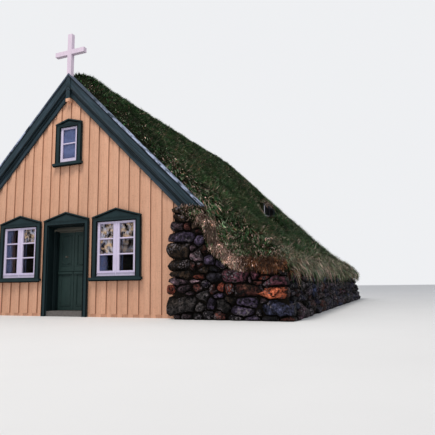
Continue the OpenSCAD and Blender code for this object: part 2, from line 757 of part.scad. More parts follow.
module roof_window_box() color("darkslategray") place() union() {
    for (d = [light_d, light_d + light_len - light_t]) carry(d, d + light_t) light_cheek();
    carry(light_d, light_d + light_len) {
        panel(light_in, light_x, light_top - light_t, light_top);
        intersection() {
            light_cheek();
            panel(light_in, light_in + light_t, 0, light_top);
        }
        intersection() {
            light_cheek();
            panel(light_x - light_t, light_x, 0, light_z);
        }
    }
}

// Clear sizes inside the box, and one pane of its sash
light_w = light_len - 2 * light_t;
light_h = light_top - light_t - light_z;
pane_w = (light_w - 3 * light_frame) / 2;

// Both panes as blocks of thickness t, from the inner face of the sash outwards
module light_panes(x0, t) for (k = [0, 1])
    translate([x0, light_d + light_t + light_frame + k * (pane_w + light_frame), light_z + light_frame])
        cube([t, pane_w, light_h - 2 * light_frame]);

module roof_window_sash() color("white") place() difference() {
    translate([light_x - light_t, light_d + light_t, light_z]) cube([light_t, light_w, light_h]);
    light_panes(light_x - light_t - 1, light_t + 2);
}

module roof_window_glass() color("lightsteelblue", 0.5) place()
    light_panes(light_x - light_t / 2 - glass_t / 2, glass_t);

stone_wall_left();
stone_wall_right();
turf_left();
turf_right();
roof_boards_left();
roof_boards_right();
rafters();
ridge_beam();
front_wall_left();
front_wall_right();
front_gable();
front_boards();
back_wall_left();
back_wall_right();
back_gable();
back_boards();
side_wall_left();
side_wall_right();
floor();
front_barge_left();
front_barge_right();
front_frieze();
front_capping();
king_piece();
king_block();
back_barge();
back_frieze();
back_capping();
cross();
door_casing();
door_frame();
threshold();
door_leaf_left();
door_leaf_right();
door_hinges();
door_knob();
window_casings();
window_sashes();
window_glass();
back_window_casings();
back_window_sashes();
back_window_glass();
roof_window_box();
roof_window_sash();
roof_window_glass();
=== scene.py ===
"""Looks of the small turf house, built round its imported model.

Metres, in the model's own frame: x runs across the house, the front looks
towards -y, z is up from the ground. "Depth" is measured inwards from the outer
face of the cover boards of an end, and "share" is a number from 0 to 1. A side
is 1 on the right and -1 on the left.
"""

import json
import math

import bpy
import numpy as np
from mathutils import Matrix, Vector


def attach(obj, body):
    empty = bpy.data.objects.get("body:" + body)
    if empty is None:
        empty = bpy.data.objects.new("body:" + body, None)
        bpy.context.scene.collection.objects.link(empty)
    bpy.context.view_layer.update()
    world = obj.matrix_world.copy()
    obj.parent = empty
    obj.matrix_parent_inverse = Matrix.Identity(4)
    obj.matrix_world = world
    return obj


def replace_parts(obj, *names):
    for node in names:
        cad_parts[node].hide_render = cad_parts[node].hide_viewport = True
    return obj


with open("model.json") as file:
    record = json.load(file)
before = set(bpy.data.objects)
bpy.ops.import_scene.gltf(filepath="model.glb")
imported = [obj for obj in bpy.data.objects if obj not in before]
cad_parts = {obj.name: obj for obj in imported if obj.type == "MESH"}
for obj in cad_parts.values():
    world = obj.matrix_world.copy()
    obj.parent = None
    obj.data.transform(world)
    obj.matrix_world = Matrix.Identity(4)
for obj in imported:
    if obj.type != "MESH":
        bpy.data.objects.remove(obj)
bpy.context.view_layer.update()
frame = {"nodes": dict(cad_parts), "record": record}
NODES = frame["nodes"]

# Sizes of the timber house. A plane down both slopes lies at z = C - |x|, and its C is named in _C
FACE = 4.70
HALF_W = 2.50
EAVES_X = 3.05
BODY_LEN = 2 * FACE
WING = 0.25
WING_LAP = 0.08
SARK_C = 4.8995
SARK_THICK = 0.0495
BARGE_C = 4.9801
TURF_C = 5.3492
PITCH = 0.24

# Sizes of the stone walls and the turf. WING_TOP is the outline of a wing: distance outwards from the
# house's corner, and height. At a depth from an end, each _RISE is the share of the full height
FOOT_X = 4.70
TOP_X = 4.52
STONE_Z = 0.85
LIP = 0.10
RIDGE_SOFT = 0.15
TUFT_Z = 1.955
WING_TOP = np.array([[-0.12, 1.925], [0.15, 1.95], [0.55, 1.60], [0.63, 1.52], [0.70, 1.21],
                     [0.97, 0.96], [1.15, 0.87], [2.10, 0.82]])
BARGE_BACK = -0.044
SLACK = 0.0001
STONE_DEPTH = np.array([-0.25, -0.175, -0.0875, -0.001, 0, 0.12, 0.27, 0.45, 0.70, 1.0])
ROOF_DEPTH = np.array([BARGE_BACK, 0.04, 0.075, 0.077, 0.10, 0.15, 0.27, 0.45, 0.70, 1.0])
STONE_RISE = np.array([0, 0, 0, 0, 0, 0.22, 0.5, 0.8, 0.95, 1])
BANK_RISE = np.array([0, 0.08, 0.2, 0.36, 0.38, 0.58, 0.78, 0.92, 0.98, 1])
ROOF_RISE = np.array([0, 0, 0, 0.2, 0.3, 0.5, 0.75, 0.92, 0.985, 1])

# Place of the roof window in the right slope: its front, its well behind that, its two ends, its
# foot and its head
LIGHT_X = 2.55
LIGHT_BACK = 0.35
LIGHT_D = 5.38
LIGHT_LEN = 1.12
LIGHT_END = LIGHT_D + LIGHT_LEN
LIGHT_Z = 2.52
LIGHT_TOP = 2.90


# Helpers

def mix(a, b, share):
    """Value at a share of the way from a to b."""
    return a + (b - a) * share


def linear(red, green, blue):
    """Scene-linear colour of a colour written as on a screen, 0 to 255 each."""
    c = np.array([red, green, blue], float) / 255
    return np.where(c <= 0.04045, c / 12.92, ((c + 0.055) / 1.055) ** 2.4)


def dimmed(colour, share):
    """Scene-linear colour of a screen colour at a share of its three numbers."""
    return linear(*[c * share for c in colour])


def rough(p, size, seed=0):
    """Smooth uneven values from -1 to 1 at the points p (n, 3).

    Every corner of a lattice of cubes of edge `size` has a random value, and
    inside a cube they are blended by t * t * (3 - 2 * t) along each axis.
    """
    q = np.asarray(p, float) / size
    cell = np.floor(q).astype(np.int64)
    t = q - cell
    t = t * t * (3 - 2 * t)
    total = np.zeros(len(q))
    for corner in np.ndindex(2, 2, 2):
        c = cell + corner
        mixed = (c[:, 0] * 73856093) ^ (c[:, 1] * 19349663) ^ (c[:, 2] * 83492791) ^ (seed * 7919 + 17)
        mixed = (mixed ^ (mixed >> 13)) * 1274126177 & 0x7FFFFFFF
        mixed = (mixed ^ (mixed >> 15)) * 974634777 & 0x7FFFFFFF
        share = np.prod(np.where(corner, t, 1 - t), axis=1)
        total += share * (mixed / 0x3FFFFFFF - 1)
    return total


def unit(v):
    """Vectors of length 1 in the same directions."""
    return v / np.maximum(np.linalg.norm(v, axis=-1, keepdims=True), 1e-9)


def nearer(depth):
    """Depth from whichever end is nearer."""
    return np.minimum(depth, BODY_LEN - depth)


def on_plan(x, depth, side):
    """Points (n, 3) on the plan of one slope, at which uneven values are read."""
    return np.stack([x * side, depth, np.zeros_like(x)], -1)


def grid_quads(rows, cols):
    """Faces (rows - 1, cols - 1, 4) of a net whose points are kept row by row."""
    row, col = np.meshgrid(np.arange(rows - 1), np.arange(cols - 1), indexing="ij")
    first = row * cols + col
    return np.stack([first, first + 1, first + cols + 1, first + cols], -1)


def slab_faces(rows, cols):
    """Faces of a closed slab: a net, the same net turned over behind it, and the rim between them."""
    count = rows * cols
    front = grid_quads(rows, cols).reshape(-1, 4)
    along, down = np.arange(cols - 1), np.arange(rows - 1)
    edge = np.concatenate([along, (down + 1) * cols - 1, count - 1 - along, (rows - 1 - down) * cols])
    after = np.roll(edge, -1)
    rim = np.stack([edge + count, after + count, after, edge], -1)
    return np.concatenate([front, front[:, ::-1] + count, rim])


def new_piece(name, points, faces, material, body="house", smooth=True, tint=None, sharp=None):
    """Whole arrays of points (n, 3) and faces (m, 3 or 4) as one mesh that rides on a body.

    `faces` may be a list of such arrays. `tint` (n, 3) is kept as a colour on
    the points, and edges sharper than `sharp` degrees stay crisp.
    """
    groups = faces if isinstance(faces, list) else [faces]
    mesh = bpy.data.meshes.new(name)
    mesh.vertices.add(len(points))
    mesh.vertices.foreach_set("co", np.asarray(points, np.float32).ravel())
    mesh.loops.add(sum(g.size for g in groups))
    mesh.loops.foreach_set("vertex_index", np.concatenate([g.ravel() for g in groups]).astype(np.int32))
    counts = np.concatenate([np.full(len(g), g.shape[1]) for g in groups])
    mesh.polygons.add(len(counts))
    mesh.polygons.foreach_set("loop_start", np.concatenate([[0], np.cumsum(counts)[:-1]]).astype(np.int32))
    mesh.polygons.foreach_set("use_smooth", np.full(len(counts), smooth))
    mesh.update(calc_edges=True)
    if sharp is not None:
        mesh.set_sharp_from_angle(angle=math.radians(sharp))
    if tint is not None:
        colours = np.ones((len(points), 4), np.float32)
        colours[:, :3] = tint
        mesh.attributes.new("tint", "FLOAT_COLOR", "POINT").data.foreach_set("color", colours.ravel())
    mesh.materials.append(material)
    piece = bpy.data.objects.new(name, mesh)
    bpy.context.scene.collection.objects.link(piece)
    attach(piece, body)
    return piece


# Materials

# Cover boards of the ends: how far their middles stand off from whole pitches, and their half width
STRIP_SHIFT = 0.039
STRIP_HALF = 0.0585
# Painted shade lines along the verge boards, under the capping and along the foot of the barge board, as
# planes down both slopes
VERGE_SHADE_LINES = (4.962, 4.728, 4.668)
# Lighter grey strip over the door leaves: its lower and upper edge, how near it comes and its half width
RAIL_LOW, RAIL_HIGH, RAIL_NEAR, RAIL_HALF = 1.695, 1.79, -4.62, 0.385


class Finish:
    """A material and the short ways in which its nodes are made."""

    def __init__(self, name, roughness, **sockets):
        self.material = bpy.data.materials.new(name)
        self.material.use_nodes = True
        self.tree = self.material.node_tree
        self.shader = self.tree.nodes["Principled BSDF"]
        self.shader.inputs["Roughness"].default_value = roughness
        for key, value in sockets.items():
            self.shader.inputs[key.replace("_", " ")].default_value = value
        self.place = self.node("ShaderNodeTexCoord").outputs["Object"]

    def node(self, kind, **values):
        """A new node; each value goes to the setting or else the socket of that name."""
        made = self.tree.nodes.new(kind)
        for key, value in values.items():
            if hasattr(made, key):
                setattr(made, key, value)
            else:
                made.inputs[key.replace("_", " ")].default_value = value
        return made

    def join(self, source, target):
        """Link from an output to an input."""
        self.tree.links.new(source, target)

    def feed(self, source, target):
        """Gives an input an output of a node, a colour or a number; None leaves it alone."""
        if isinstance(source, bpy.types.NodeSocket):
            self.join(source, target)
        elif source is not None:
            target.default_value = source if np.ndim(source) == 0 else (*source, 1)

    def axes(self):
        """x, y and z of the object coordinates."""
        split = self.node("ShaderNodeSeparateXYZ")
        self.join(self.place, split.inputs[0])
        return split.outputs["X"], split.outputs["Y"], split.outputs["Z"]

    def stretched(self, x, y, z):
        """Object coordinates times (x, y, z)."""
        scaled = self.node("ShaderNodeMapping")
        scaled.inputs["Scale"].default_value = (x, y, z)
        self.join(self.place, scaled.inputs["Vector"])
        return scaled.outputs["Vector"]

    def noise(self, place, scale, detail=3.0, roughness=0.55, low=0.0, high=1.0):
        """Noise at a scale, spread so that 0.3 to 0.7 becomes low to high."""
        made = self.node("ShaderNodeTexNoise", Scale=scale, Detail=detail, Roughness=roughness)
        self.join(place, made.inputs["Vector"])
        spread = self.node("ShaderNodeMapRange")
        for socket, value in (("From Min", 0.3), ("From Max", 0.7), ("To Min", low), ("To Max", high)):
            spread.inputs[socket].default_value = value
        self.join(made.outputs["Fac"], spread.inputs["Value"])
        return spread.outputs["Result"]

    def blend(self, share, first, second, kind="MIX"):
        """Mix of two colours; each is a colour, or the output of a node."""
        made = self.node("ShaderNodeMix", data_type="RGBA", blend_type=kind)
        for source, socket in ((share, 0), (first, 6), (second, 7)):
            self.feed(source, made.inputs[socket])
        return made.outputs[2]

    def math(self, operation, first, second=None, clamp=False):
        """A sum on numbers or outputs of nodes."""
        made = self.node("ShaderNodeMath", operation=operation, use_clamp=clamp)
        self.feed(first, made.inputs[0])
        self.feed(second, made.inputs[1])
        return made.outputs[0]

    def times(self, first, second, clamp=False):
        """Product of two numbers or outputs of nodes."""
        return self.math("MULTIPLY", first, second, clamp)

    def gap(self, first, second):
        """Distance between two numbers or outputs of nodes."""
        return self.math("ABSOLUTE", self.math("SUBTRACT", first, second))

    def line(self, distance, half, crest):
        """1 on a line and 0 away from it: crest - distance / half, kept from 0 to 1."""
        return self.math("SUBTRACT", crest, self.math("DIVIDE", distance, half), clamp=True)

    def tint(self):
        """The colour that the piece's own points carry."""
        return self.node("ShaderNodeAttribute", attribute_name="tint").outputs["Color"]

    def colour(self, source):
        """Gives the surface its colour."""
        self.join(source, self.shader.inputs["Base Color"])

    def bump(self, height, distance, strength=1.0):
        """Fine relief by a height of 0 to 1 over a distance."""
        made = self.node("ShaderNodeBump", Strength=strength, Distance=distance)
        self.join(height, made.inputs["Height"])
        self.join(made.outputs["Normal"], self.shader.inputs["Normal"])


def board_tones_and_shade_lines(f, paint, colour, dirt_and_shade):
    """Boards that differ a little in tone, with a thin dark line along each edge of a cover board: painted
    shade of the board's edge, with some dirt in the seam.
    """
    bay = f.math("DIVIDE", f.math("ADD", f.axes()[0], STRIP_SHIFT), PITCH)
    whole = f.math("ROUND", bay)
    tone = f.node("ShaderNodeTexWhiteNoise", noise_dimensions="1D")
    f.join(whole, tone.inputs["W"])
    paint = f.blend(f.times(tone.outputs["Value"], 0.35), paint, dimmed(colour, 0.86))
    off = f.math("ABSOLUTE", f.times(f.math("SUBTRACT", bay, whole), PITCH))
    # A dark line along each cover board's edge: painted shade of its side, with some dirt in the seam
    edge = f.line(f.gap(off, STRIP_HALF), 0.0045, 1.1)
    return f.blend(f.times(edge, 0.85), paint, linear(*dirt_and_shade))


def slope_wear_sheen_and_shade(f, paint, dirt_and_shade, streak_and_sheen_colour, sheen_below):
    """Worn streaks down both slopes and painted shade lines at the verge's joints; below a given height the
    streak colour grows in patches as a painted sky sheen.
    """
    x, y, z = f.axes()
    out = f.math("ABSOLUTE", x)
    level = f.math("ADD", out, z)
    slope = f.node("ShaderNodeCombineXYZ")
    f.join(f.times(f.math("SUBTRACT", out, z), 1.4), slope.inputs["X"])
    f.join(f.times(y, 50), slope.inputs["Y"])
    f.join(f.times(level, 42), slope.inputs["Z"])
    if sheen_below is None:
        wear_and_sheen = f.noise(slope.outputs[0], 1.0, detail=5.0, roughness=0.6, low=-0.7, high=1.1)
    else:
        # Below that height the pale patches are a painted sheen of the sky, with some worn paint
        lower = f.times(f.math("SUBTRACT", sheen_below, z), 0.8, clamp=True)
        patch = f.noise(f.place, 7, low=-0.5, high=1.6)
        wear_and_sheen = f.math("ADD", f.times(patch, lower), 0.1, clamp=True)
    paint = f.blend(wear_and_sheen, paint, linear(*streak_and_sheen_colour))
    shade = f.noise(slope.outputs[0], 0.6, detail=4.0, roughness=0.6, low=-0.8, high=0.9)
    paint = f.blend(shade, paint, linear(*dirt_and_shade))
    # Dark lines painted at the verge's joints as the shade under the capping's nose and the barge board's
    # foot
    for joint in VERGE_SHADE_LINES:
        paint = f.blend(f.line(f.gap(level, joint), 0.014, 1.3), paint, dimmed(dirt_and_shade, 0.5))
    return paint


def pale_rail_strip(f, paint, rail_grey_colour):
    """A lighter grey strip over the door leaves, with a ragged edge."""
    x, y, z = f.axes()
    upright = f.times(f.math("GREATER_THAN", z, RAIL_LOW), f.math("LESS_THAN", z, RAIL_HIGH))
    deep = f.math("GREATER_THAN", y, RAIL_NEAR)
    inside = f.math("LESS_THAN", f.math("ABSOLUTE", x), RAIL_HALF)
    rail_ragged = f.noise(f.stretched(3, 30, 60), 1.0, detail=4.0, low=0.5, high=1.3)
    share = f.times(f.times(upright, f.times(deep, inside)), rail_ragged, clamp=True)
    return f.blend(share, paint, linear(*rail_grey_colour))


def painted_wood(name, colour, worn, dirt_and_shade, roughness, gloss=0.3, boards=False, streak_and_sheen_colour=None, sheen_below=None,
                 rail=None):
    """Oil paint on planed boards: fine grain, soft uneven fading and grime.

    `boards` adds what shows on a boarded wall, with painted shade along the
    cover boards' edges. The streak colour is that of wear down both slopes, and
    below the height given for the capping it grows in patches as a painted sky
    sheen. The rail colour is that of the lighter grey strip over the door leaves.
    """
    f = Finish(name, roughness, Specular_IOR_Level=gloss)
    grain = f.noise(f.stretched(70, 70, 3.5), 1.0, detail=4.0)
    patches = f.noise(f.stretched(3.1, 3.1, 1.2), 1.0)
    specks = f.noise(f.place, 38, detail=5.0, roughness=0.7, low=-1.2)
    paint = f.blend(patches, linear(*colour), linear(*worn))
    if boards:
        paint = board_tones_and_shade_lines(f, paint, colour, dirt_and_shade)
    grained = f.blend(grain, paint, f.blend(0.55, paint, linear(*dirt_and_shade)))
    paint = f.blend(0.35, paint, grained)
    if streak_and_sheen_colour is not None:
        paint = slope_wear_sheen_and_shade(f, paint, dirt_and_shade, streak_and_sheen_colour, sheen_below)
    if rail is not None:
        paint = pale_rail_strip(f, paint, rail)
    f.colour(f.blend(specks, paint, f.blend(0.25, paint, linear(*dirt_and_shade))))
    f.bump(grain, 0.0015, 0.6)
    return f.material


def stone_finish():
    """Rough basalt: the stone's tint with its painted shade, mottled and pitted, with pale lichen in places,
    and its pits painted near black as their shade.
    """
    f = Finish("dry_stone", 0.7, Specular_IOR_Level=0.15)
    broad = f.noise(f.place, 6, detail=2.0, roughness=0.5, low=0.5, high=1.6)
    fine = f.math("MAXIMUM", f.noise(f.place, 17, roughness=0.6, low=-1.1, high=3.3), 0.04)
    shaded = f.blend(1.0, f.blend(1.0, f.tint(), broad, "MULTIPLY"), fine, "MULTIPLY")
    lichen = f.math("MAXIMUM", f.noise(f.place, 26, detail=2.0, roughness=0.5, low=-2.2, high=2.4), 0.0)
    patch = f.math("MAXIMUM", f.noise(f.place, 4.5, detail=2.0, low=-1.2, high=1.1), 0.0)
    shaded = f.blend(f.times(lichen, patch, clamp=True), shaded, linear(150, 140, 146))
    cells = f.node("ShaderNodeTexVoronoi", Scale=15.0)
    f.join(f.place, cells.inputs["Vector"])
    pit = f.math("SUBTRACT", 1.0, f.times(cells.outputs["Distance"], 3.2), clamp=True)
    where = f.noise(f.place, 6, detail=2.0, low=-0.4, high=1.6)
    pitted = f.times(pit, where, clamp=True)
    # Pits painted near black: painted shade in their hollows
    f.colour(f.blend(pitted, shaded, linear(8, 7, 8)))
    f.bump(f.math("SUBTRACT", fine, f.times(pitted, 1.2)), 0.055)
    return f.material


def earth_finish():
    """Dark earth and moss packed between the stones, painted nearly black as the shade deep in the gaps."""
    f = Finish("earth_with_gap_shade", 0.95, Specular_IOR_Level=0.1)
    f.colour(f.blend(f.noise(f.place, 24, detail=5.0), linear(12, 10, 9), linear(30, 25, 18)))
    f.bump(f.noise(f.place, 40, detail=6.0), 0.02)
    return f.material


def sod_finish():
    """Matted sod under the grass: dark earth, old straw and green."""
    f = Finish("sod", 0.95, Specular_IOR_Level=0.1)
    green = f.blend(f.noise(f.place, 9, detail=5.0), linear(12, 17, 8), linear(28, 40, 16))
    f.colour(f.blend(f.noise(f.place, 34, detail=4.0, low=-0.6), green, linear(46, 38, 24)))
    f.bump(f.noise(f.place, 45, detail=6.0), 0.03)
    return f.material


def leaf_finish():
    """Leaves of grass, each with its own tint."""
    f = Finish("grass_leaf", 0.62, Specular_IOR_Level=0.25)
    f.colour(f.tint())
    return f.material


def plain_wood(name, colour, dark):
    """Bare aged softwood with grain along the house."""
    f = Finish(name, 0.75)
    grain = f.noise(f.stretched(40, 2.2, 40), 1.0, detail=4.0)
    f.colour(f.blend(grain, linear(*colour), linear(*dark)))
    f.bump(grain, 0.002, 0.7)
    return f.material


def roof_sash_shade_finish():
    """White paint on the near lower corner of the roof window's sash; elsewhere it is painted dark as the
    shade under the brow of dead grass.

    The paint ends where (along / 0.5)^2 + (up / 0.3)^2, from that corner, passes a ragged 1.
    """
    f = Finish("roof_sash_shade_paint", 0.6, Specular_IOR_Level=0.05)
    _, y, z = f.axes()
    along = f.math("DIVIDE", f.math("SUBTRACT", y, LIGHT_D - FACE), 0.5)
    up = f.math("DIVIDE", f.math("SUBTRACT", z, LIGHT_Z), 0.3)
    far = f.math("ADD", f.math("POWER", along, 2.0), f.math("POWER", up, 2.0))
    ragged = f.noise(f.place, 18, low=-0.35, high=0.35)
    bare = f.times(f.math("SUBTRACT", f.math("ADD", far, ragged), 1.0), 6.0, clamp=True)
    # Away from the near lower corner the sash is painted dark as the shade under the brow
    f.colour(f.blend(bare, linear(222, 216, 226), linear(26, 30, 40)))
    f.bump(bare, 0.002)
    return f.material


def roof_glass_finish():
    """Dull glass of the roof window, seen at a low angle, tinted nearly black as painted shade of the well
    behind it.
    """
    return Finish("roof_glass", 0.35, Transmission_Weight=1.0, IOR=1.02, Base_Color=(0.015, 0.02, 0.04, 1),
                  Specular_IOR_Level=0.05).material


def glass_finish():
    """Old window glass over a dark room, with a painted reflection.

    The tint gives each pane a dull sheen, painted to stand for the sky and
    branches that it mirrors: its red is the share, and its green runs it from
    an even blue to broken warm grey.
    """
    f = Finish("window_glass", 0.04, Transmission_Weight=1.0, IOR=1.08, Base_Color=(0.62, 0.66, 0.8, 1))
    split = f.node("ShaderNodeSeparateColor")
    f.join(f.tint(), split.inputs[0])
    sheen = f.node("ShaderNodeBsdfPrincipled", Roughness=0.3)
    cloud = f.noise(f.place, 5, low=0.3, high=1.2)
    broken = f.noise(f.stretched(1.0, 1.0, 0.6), 17, detail=4.0, roughness=0.6, low=-0.9, high=1.9)
    cloud = f.blend(split.outputs["Green"], cloud, broken)
    patch = f.noise(f.place, 9, detail=2.0, low=-0.4, high=1.4)
    warm = f.blend(patch, linear(170, 172, 190), linear(196, 164, 128))
    f.join(f.blend(split.outputs["Green"], linear(84, 97, 142), warm), sheen.inputs["Base Color"])
    both = f.node("ShaderNodeMixShader")
    f.join(f.times(split.outputs["Red"], cloud, clamp=True), both.inputs[0])
    f.join(f.shader.outputs[0], both.inputs[1])
    f.join(sheen.outputs[0], both.inputs[2])
    f.join(both.outputs[0], f.tree.nodes["Material Output"].inputs["Surface"])
    return f.material


def metal_finish(name, colour, roughness):
    """Worn dark metal, lighter and darker in small patches."""
    f = Finish(name, roughness, Metallic=0.85)
    f.colour(f.blend(f.noise(f.place, 60, detail=4.0), linear(*colour), dimmed(colour, 0.6)))
    return f.material


# Each paint: its colour, its faded colour, its colour of dirt, which on the boards and the verge also paints
# shade lines, its roughness and its gloss
RAIL_GREY = (90, 88, 80)
board_paint = painted_wood("board_paint", (234, 181, 150), (224, 171, 140), (92, 58, 44), 0.6, boards=True)
trim_paint = painted_wood("trim_paint", (28, 46, 50), (36, 56, 60), (12, 22, 24), 0.5, 0.15)
# Near-black paint of the casings' beads, side bars, sill bars and raking beads: painted shadow lines round
# the casings
casing_shadow_paint = painted_wood("casing_shadow_paint", (6, 11, 12), (9, 15, 17), (3, 5, 6), 0.6, 0.05)
frame_paint = painted_wood("frame_paint", (20, 32, 34), (25, 38, 40), (8, 14, 15), 0.5, 0.1, rail=RAIL_GREY)
leaf_paint = painted_wood("leaf_paint", (38, 56, 55), (48, 66, 64), (16, 25, 24), 0.45, 0.15, rail=RAIL_GREY)
roof_sash_shade_paint = roof_sash_shade_finish()
verge_paint = painted_wood("verge_paint", (37, 54, 60), (45, 63, 72), (14, 23, 27), 0.5, 0.15,
                           streak_and_sheen_colour=(64, 78, 92))
# The capping's pale blue-white patches low down are a painted sky sheen, with some worn paint
capping_paint = painted_wood("capping_paint", (52, 66, 80), (44, 58, 72), (18, 26, 34), 0.5, 0.2,
                             streak_and_sheen_colour=(178, 190, 220), sheen_below=4.6)
sash_paint = painted_wood("sash_paint", (226, 216, 240), (214, 204, 232), (150, 140, 160), 0.45)
inner_paint = painted_wood("inner_paint", (112, 114, 132), (100, 102, 120), (50, 50, 58), 0.6)
cross_paint = painted_wood("cross_paint", (228, 210, 226), (212, 196, 214), (150, 138, 150), 0.5)
bare_pine = plain_wood("bare_pine", (150, 112, 74), (104, 74, 46))
dry_stone = stone_finish()
earth_with_gap_shade = earth_finish()
sod = sod_finish()
grass_leaf = leaf_finish()
window_glass = glass_finish()
roof_glass = roof_glass_finish()
sill_stone = plain_wood("sill_stone", (110, 106, 102), (84, 80, 78))
hinge_iron = metal_finish("hinge_iron", (52, 54, 58), 0.55)
knob_metal = metal_finish("knob_metal", (132, 126, 116), 0.5)

# The model's nodes take the finish of their slot, apart from those with one of their own
BY_SLOT = {"dry_stone": earth_with_gap_shade, "turf": sod, "board_paint": board_paint, "trim_paint": trim_paint,
           "sash_paint": sash_paint, "cross_paint": cross_paint, "bare_pine": bare_pine,
           "window_glass": window_glass, "sill_stone": sill_stone, "hinge_iron": hinge_iron,
           "knob_metal": knob_metal}
BY_NODE = {"front_capping": capping_paint, "back_capping": capping_paint, "front_barge_left": verge_paint,
           "front_barge_right": verge_paint, "back_barge": verge_paint, "front_frieze": verge_paint,
           "back_frieze": verge_paint, "king_piece": verge_paint, "door_leaf_left": leaf_paint,
           "door_leaf_right": leaf_paint, "door_frame": frame_paint, "roof_window_sash": roof_sash_shade_paint,
           "roof_window_glass": roof_glass}
for part in frame["record"]["subparts"]:
    node = NODES[part["node"]]
    node.data.materials.clear()
    node.data.materials.append(BY_NODE.get(part["node"], BY_SLOT[part["material_slot"]]))


# Shape of the mantle

def risen(depth, depths, shares):
    """Share of its full height that a surface has at a depth from the nearer end."""
    return np.interp(nearer(depth), depths, shares)


def wing_top(x):
    """Height of the stone front against the distance from the middle."""
    return np.interp(x - HALF_W, WING_TOP[:, 0], WING_TOP[:, 1])


def stone_top(x, depth):
    """Top of the stone wall: the wing's outline at the ends, the roof's foot between them."""
    under_boards = SARK_C - SARK_THICK
    outside = mix(under_boards - EAVES_X, STONE_Z, (x - EAVES_X) / (TOP_X - EAVES_X))
    inner = np.where(x <= EAVES_X, under_boards - x, outside)
    return mix(wing_top(np.minimum(x, TOP_X)), inner, risen(depth, STONE_DEPTH, STONE_RISE))


def turf_top(x, depth):
    """Top of the turf: a soft ridge, a straight slope, and a bank over the stone wall.

    Under the ridge it lies at C - (x^2 + soft^2)^0.5, and past the eaves it
    swings out by 0.09 times the square of the distance. Its lip rounds off.
    """
    share = risen(depth, ROOF_DEPTH, ROOF_RISE)
    roof = mix(BARGE_C, TURF_C, share) - np.sqrt(x ** 2 + (RIDGE_SOFT * share) ** 2)
    near = nearer(depth)
    tuft = mix(wing_top(x), TUFT_Z, np.interp(near, [-0.2375, -0.1875, -0.125], [0.15, 0.7, 1]))
    roof = np.where(near < BARGE_BACK - SLACK, tuft, roof)
    full = TURF_C - np.sqrt(x ** 2 + RIDGE_SOFT ** 2) + 0.09 * np.maximum(0, x - EAVES_X + 0.05) ** 2
    lip = np.maximum(0, x - TOP_X) / LIP
    bank = mix(wing_top(np.minimum(x, TOP_X)) + 0.07, full, risen(depth, STONE_DEPTH, BANK_RISE))
    return np.where(x <= EAVES_X, roof, bank - 0.11 * lip ** 2)


def light_hump(x, depth):
    """Rise of the turf over the roof window, 0 at its rim."""
    across = (x - LIGHT_X + LIGHT_BACK / 2) / (2 * LIGHT_BACK)
    along = (depth - LIGHT_D - LIGHT_LEN / 2) / LIGHT_LEN
    behind = np.clip((LIGHT_X + 0.06 - x) / 0.06, 0, 1)
    return 0.20 * np.maximum(0, 1 - across ** 2) * np.maximum(0, 1 - along ** 2) * behind


def from_trough(x, depth):
    """Distance down the slope from the middle of the sag before the roof window, which runs aslant."""
    return x - LIGHT_X - 0.17 - 0.3 * (LIGHT_D - depth)


def light_trough(x, depth):
    """Sag of the turf in front of the roof window, deepest beside it."""
    ahead = LIGHT_D - depth
    sag = np.clip(1 - ahead / 1.8, 0, 1) * np.clip(1 + ahead / 0.3, 0, 1)
    return 0.38 * sag * np.maximum(0, 1 - (from_trough(x, depth) / 0.42) ** 2)


# Columns and rows of the turf's net, closer together where its shape turns
SOD_X = np.concatenate([np.linspace(0, 2.2, 37)[:-1], [2.2, 2.26, 2.32, 2.38, 2.44, 2.50, 2.545, 2.555],
                        np.linspace(2.61, EAVES_X, 8), np.linspace(EAVES_X + 0.06, TOP_X, 23),
                        [TOP_X + 0.03, TOP_X + 0.06, TOP_X + 0.085, TOP_X + LIP]])
HALF_ROWS = np.concatenate([np.linspace(-WING, BARGE_BACK - 0.001, 5), np.linspace(BARGE_BACK, 0.075, 3),
                            [0.077, 0.10, 0.13, 0.16, 0.21, 0.27, 0.34], np.linspace(0.42, 1.0, 8)])
SOD_ROWS = np.concatenate([HALF_ROWS, np.linspace(1.0, 8.4, 108)[1:-1], BODY_LEN - HALF_ROWS[::-1]])
SETTLED = 0.045


def sod_height(x, depth, side):
    """Top of the turf with its lumps, and with the roof window's place on the right side.

    Away from the ends and the eaves it has settled by SETTLED.
    """
    spot = on_plan(x, depth, side)
    lumps = 0.028 * rough(spot, 0.55, 3) + 0.016 * rough(spot, 0.22, 4) + 0.008 * rough(spot, 0.11, 5)
    near = nearer(depth)
    calm = np.clip((near - 0.05) / 0.3, 0.25, 1) * np.where(near < 0.08, 0.3, 1)
    settled = SETTLED * np.clip((near - 0.3) / 0.8, 0, 1) * np.clip((2.95 - x) / 0.4, 0, 1)
    z = turf_top(x, depth) + lumps * calm - settled
    if side > 0:
        z = z + light_hump(x, depth) - light_trough(x, depth)
        in_front = (x > LIGHT_X) & (depth > LIGHT_D - 0.06) & (depth < LIGHT_END + 0.06)
        z = np.where(in_front, np.minimum(z, LIGHT_Z), z)
        above = ((x > LIGHT_X - LIGHT_BACK - 0.05) & (x <= LIGHT_X)
                 & (depth > LIGHT_D - 0.05) & (depth < LIGHT_END + 0.05))
        z = np.where(above, np.maximum(z, LIGHT_TOP + 0.025), z)
    return z


